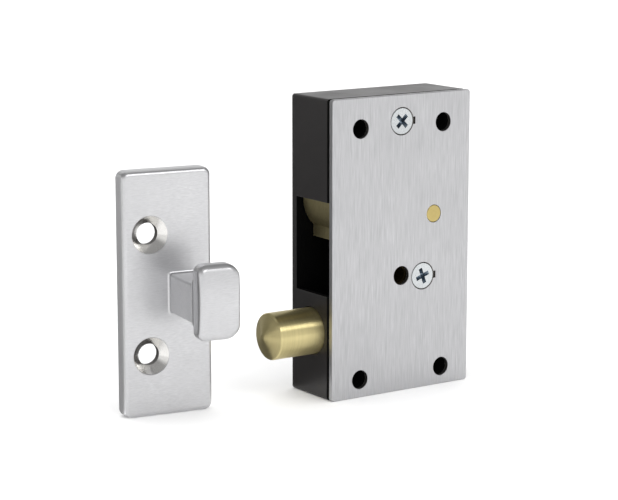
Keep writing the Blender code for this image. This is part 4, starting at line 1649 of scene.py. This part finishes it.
@dataclass
class Studio:
    """A pale floor, soft light and the camera."""

    eye: tuple[float, float, float] = (-0.4265, -0.5935, 0.1327)
    look: tuple[float, float, float] = (0.5538, 0.8116, -0.1861)
    lens: float = 124.69
    floor_size: float = 12.0

    def build(self) -> None:
        """Makes the floor, the lights, the world and the camera."""
        self.floor()
        self.cards()
        self.world()
        self.lamp("key_softbox", (0.15, -1.25, 1.00), (1.3, 0.45), 7.5)
        self.lamp("sky_panel", (0.0, 0.5, 3.0), (8.0, 8.0), 230.0, seen=False)
        self.camera()
        bpy.context.scene.view_settings.view_transform = "Standard"

    def floor(self) -> None:
        """The floor that case and keeper stand on."""
        shape = bmesh.new()
        bmesh.ops.create_grid(shape, x_segments=1, y_segments=1, size=self.floor_size)
        bmesh.ops.translate(shape, vec=(0, 0, CAD_BOX[0][2] - 0.00002), verts=shape.verts)
        piece = new_piece("studio_floor", shape)
        piece.data.materials.append(paper("studio_paper", 0.95))

    def cards(self) -> None:
        """Two grey cards, one lying and one standing left of the case, that only reflections see."""
        greys = {"lying_card": 0.12, "standing_card": 0.24}
        low = CAD_BOX[0][2] + 0.00002
        standing = Matrix.Rotation(radians(45), 4, "Z") @ Matrix.Rotation(pi / 2, 4, "X")
        places = {
            "lying_card": Matrix.Translation((-0.33, 0.30, low)),
            "standing_card": Matrix.Translation((-0.36, 0.34, low + 0.3)) @ standing,
        }
        for name, place in places.items():
            shape = bmesh.new()
            bmesh.ops.create_grid(shape, x_segments=1, y_segments=1, size=0.3)
            piece = new_piece(name, shape, place)
            piece.data.materials.append(paper(name + "_paper", greys[name]))
            piece.visible_camera = piece.visible_diffuse = piece.visible_shadow = False

    def world(self) -> None:
        """A white backdrop round the horizon that falls off overhead."""
        world = bpy.data.worlds.new("studio")
        bpy.context.scene.world = world
        world.use_nodes = True
        sheet = NodeSheet(world.node_tree)
        ground = next(n for n in world.node_tree.nodes if n.type == "BACKGROUND")
        way = sheet.add("TexCoord").outputs["Generated"]
        parts = sheet.add("SeparateXYZ", Vector=way)
        bright = sheet.ramp(parts.outputs["Z"], 0.25, 0.60, 1.0, 0.38)
        colour = sheet.blend(bright, (0.0, 0.0, 0.0), (1.0, 1.0, 1.0))
        sheet.fill(ground, "Color", colour)
        ground.inputs["Strength"].default_value = 1.0

    def lamp(self, name: str, spot: tuple[float, float, float], size: Point, power: float,
             seen: bool = True) -> None:
        """One flat soft light that faces the object.

        Args:
            name: Its name.
            spot: Where it is.
            size: Its width and height.
            power: Its power, in watts.
            seen: False to leave it out of reflections.
        """
        light = bpy.data.lights.new(name, "AREA")
        light.shape = "RECTANGLE"
        light.size, light.size_y = size
        light.energy = power
        lamp = bpy.data.objects.new(name, light)
        bpy.context.scene.collection.objects.link(lamp)
        lamp.location = spot
        lamp.rotation_euler = (-Vector(spot)).to_track_quat("-Z", "Y").to_euler()
        lamp.visible_glossy = seen

    def camera(self) -> None:
        """The camera, level and long, from the slot's side and a little above."""
        data = bpy.data.cameras.new("camera")
        data.lens = self.lens
        data.sensor_width = 36.0
        data.clip_start = 0.01
        camera = bpy.data.objects.new("camera", data)
        bpy.context.scene.collection.objects.link(camera)
        camera.location = self.eye
        camera.rotation_euler = Vector(self.look).to_track_quat("-Z", "Y").to_euler()
        bpy.context.scene.camera = camera


def finishes() -> dict[str, Finish]:
    """Every finish of the latch, by the piece that wears it.

    Returns:
        The finishes.
    """
    plunger, pivot = centre_of("plunger"), joint_spot("latch_lift")
    hub = joint_spot("release_hub_turn")
    brass = (0.66, 0.57, 0.29)
    return {
        "case": Enamel("case_enamel", "dark_enamel", (0.012, 0.0105, 0.0105), 0.34),
        # A near-black, almost unreflecting enamel for the case's front rim and inner walls: painted shade for
        # the gap at the rim and the shade inside.
        "rim": Enamel("painted_shade_enamel", "dark_enamel", (0.003, 0.003, 0.003), 0.75, gloss=0.03,
                      worn_colour=(0.005, 0.005, 0.005), dust_colour=(0.006, 0.006, 0.006)),
        "plate": Brushed("plate_brushed", "brushed_stainless", (0.47, 0.47, 0.48), 0.36, marks=Marks.UPRIGHT,
                         contrast=0.19),
        "screw": Plated("screw_plating", "zinc_plated_steel", (0.55, 0.57, 0.58), 0.26),
        # A darker, blue-grey copy of the screw plating: painted shade in the cross recess.
        "recess": Plated("painted_recess_shade", "zinc_plated_steel", (0.26, 0.31, 0.36), 0.36),
        # A dark copy of the chrome for the walls of the holes: painted shade.
        "bore": Plated("painted_bore_shade", "satin_chrome", (0.20, 0.19, 0.18), 0.5),
        # A much lighter copy of the keeper's chrome for its narrow sides: painted light.
        "side": Brushed("painted_side_light", "satin_chrome", (0.93, 0.93, 0.94), 0.5, marks=Marks.ACROSS,
                        contrast=0.04),
        # A smoother turned chrome, its colour lighter than the keeper's as a painted highlight.
        "sink": Plated("sink_chrome_painted_light", "satin_chrome", (0.72, 0.71, 0.69), 0.16),
        "inner": Plated("inner_plating", "zinc_plated_steel", (0.58, 0.59, 0.61), 0.32),
        "plunger": Turned("plunger_brass", "satin_brass", brass, 0.33, centre=tuple(plunger), axis="X",
                          depth=0.000003, anisotropy=0.85),
        "pin": Turned("pin_brass", "satin_brass", (0.50, 0.40, 0.16), 0.32, centre=tuple(pivot), axis="Y"),
        # A very dark copy of the brass for the hub inside the case: painted shade.
        "hub": Turned("hub_brass_painted_shade", "satin_brass", (0.10, 0.075, 0.035), 0.45, centre=tuple(hub), axis="Y"),
        # The lever's brass is darker than the plunger's: painted shade for its place inside the slot.
        "lever": Brushed("lever_brass_painted_shade", "satin_brass", (0.42, 0.365, 0.20), 0.45, marks=Marks.UPRIGHT,
                         contrast=0.14),
        "spring": Plated("spring_wire", "spring_steel", (0.34, 0.34, 0.36), 0.3),
        "keeper": Brushed("keeper_chrome", "satin_chrome", (0.56, 0.56, 0.57), 0.32, marks=Marks.ACROSS,
                          contrast=0.09),
    }


def main() -> None:
    """Builds the studio and every sub-assembly."""
    logging.basicConfig(level=logging.INFO, format="%(message)s")
    look = finishes()
    layout = CaseLayout()
    Studio().build()
    assemblies = [
        CaseShell(layout, look["case"], look["rim"]),
        FrontPlate(layout, look["plate"], look["bore"]),
        CoverScrew("cover_screw_top", look["screw"], look["recess"], turn=45.0),
        CoverScrew("cover_screw_lower", look["screw"], look["recess"], turn=20.0),
        PivotPin(look["pin"]),
        HookLever(look["lever"]),
        Plunger(look["plunger"], look["spring"]),
        Keeper(look["keeper"], look["bore"], look["sink"], look["side"]),
        Inside(look["hub"], look["spring"], look["inner"]),
    ]
    for assembly in assemblies:
        made = assembly.build()
        for piece in made if isinstance(made, list) else [made]:
            LOG.info("%s: %s, %d faces", type(assembly).__name__, piece.name, len(piece.data.polygons))


if __name__ == "__main__":
    main()
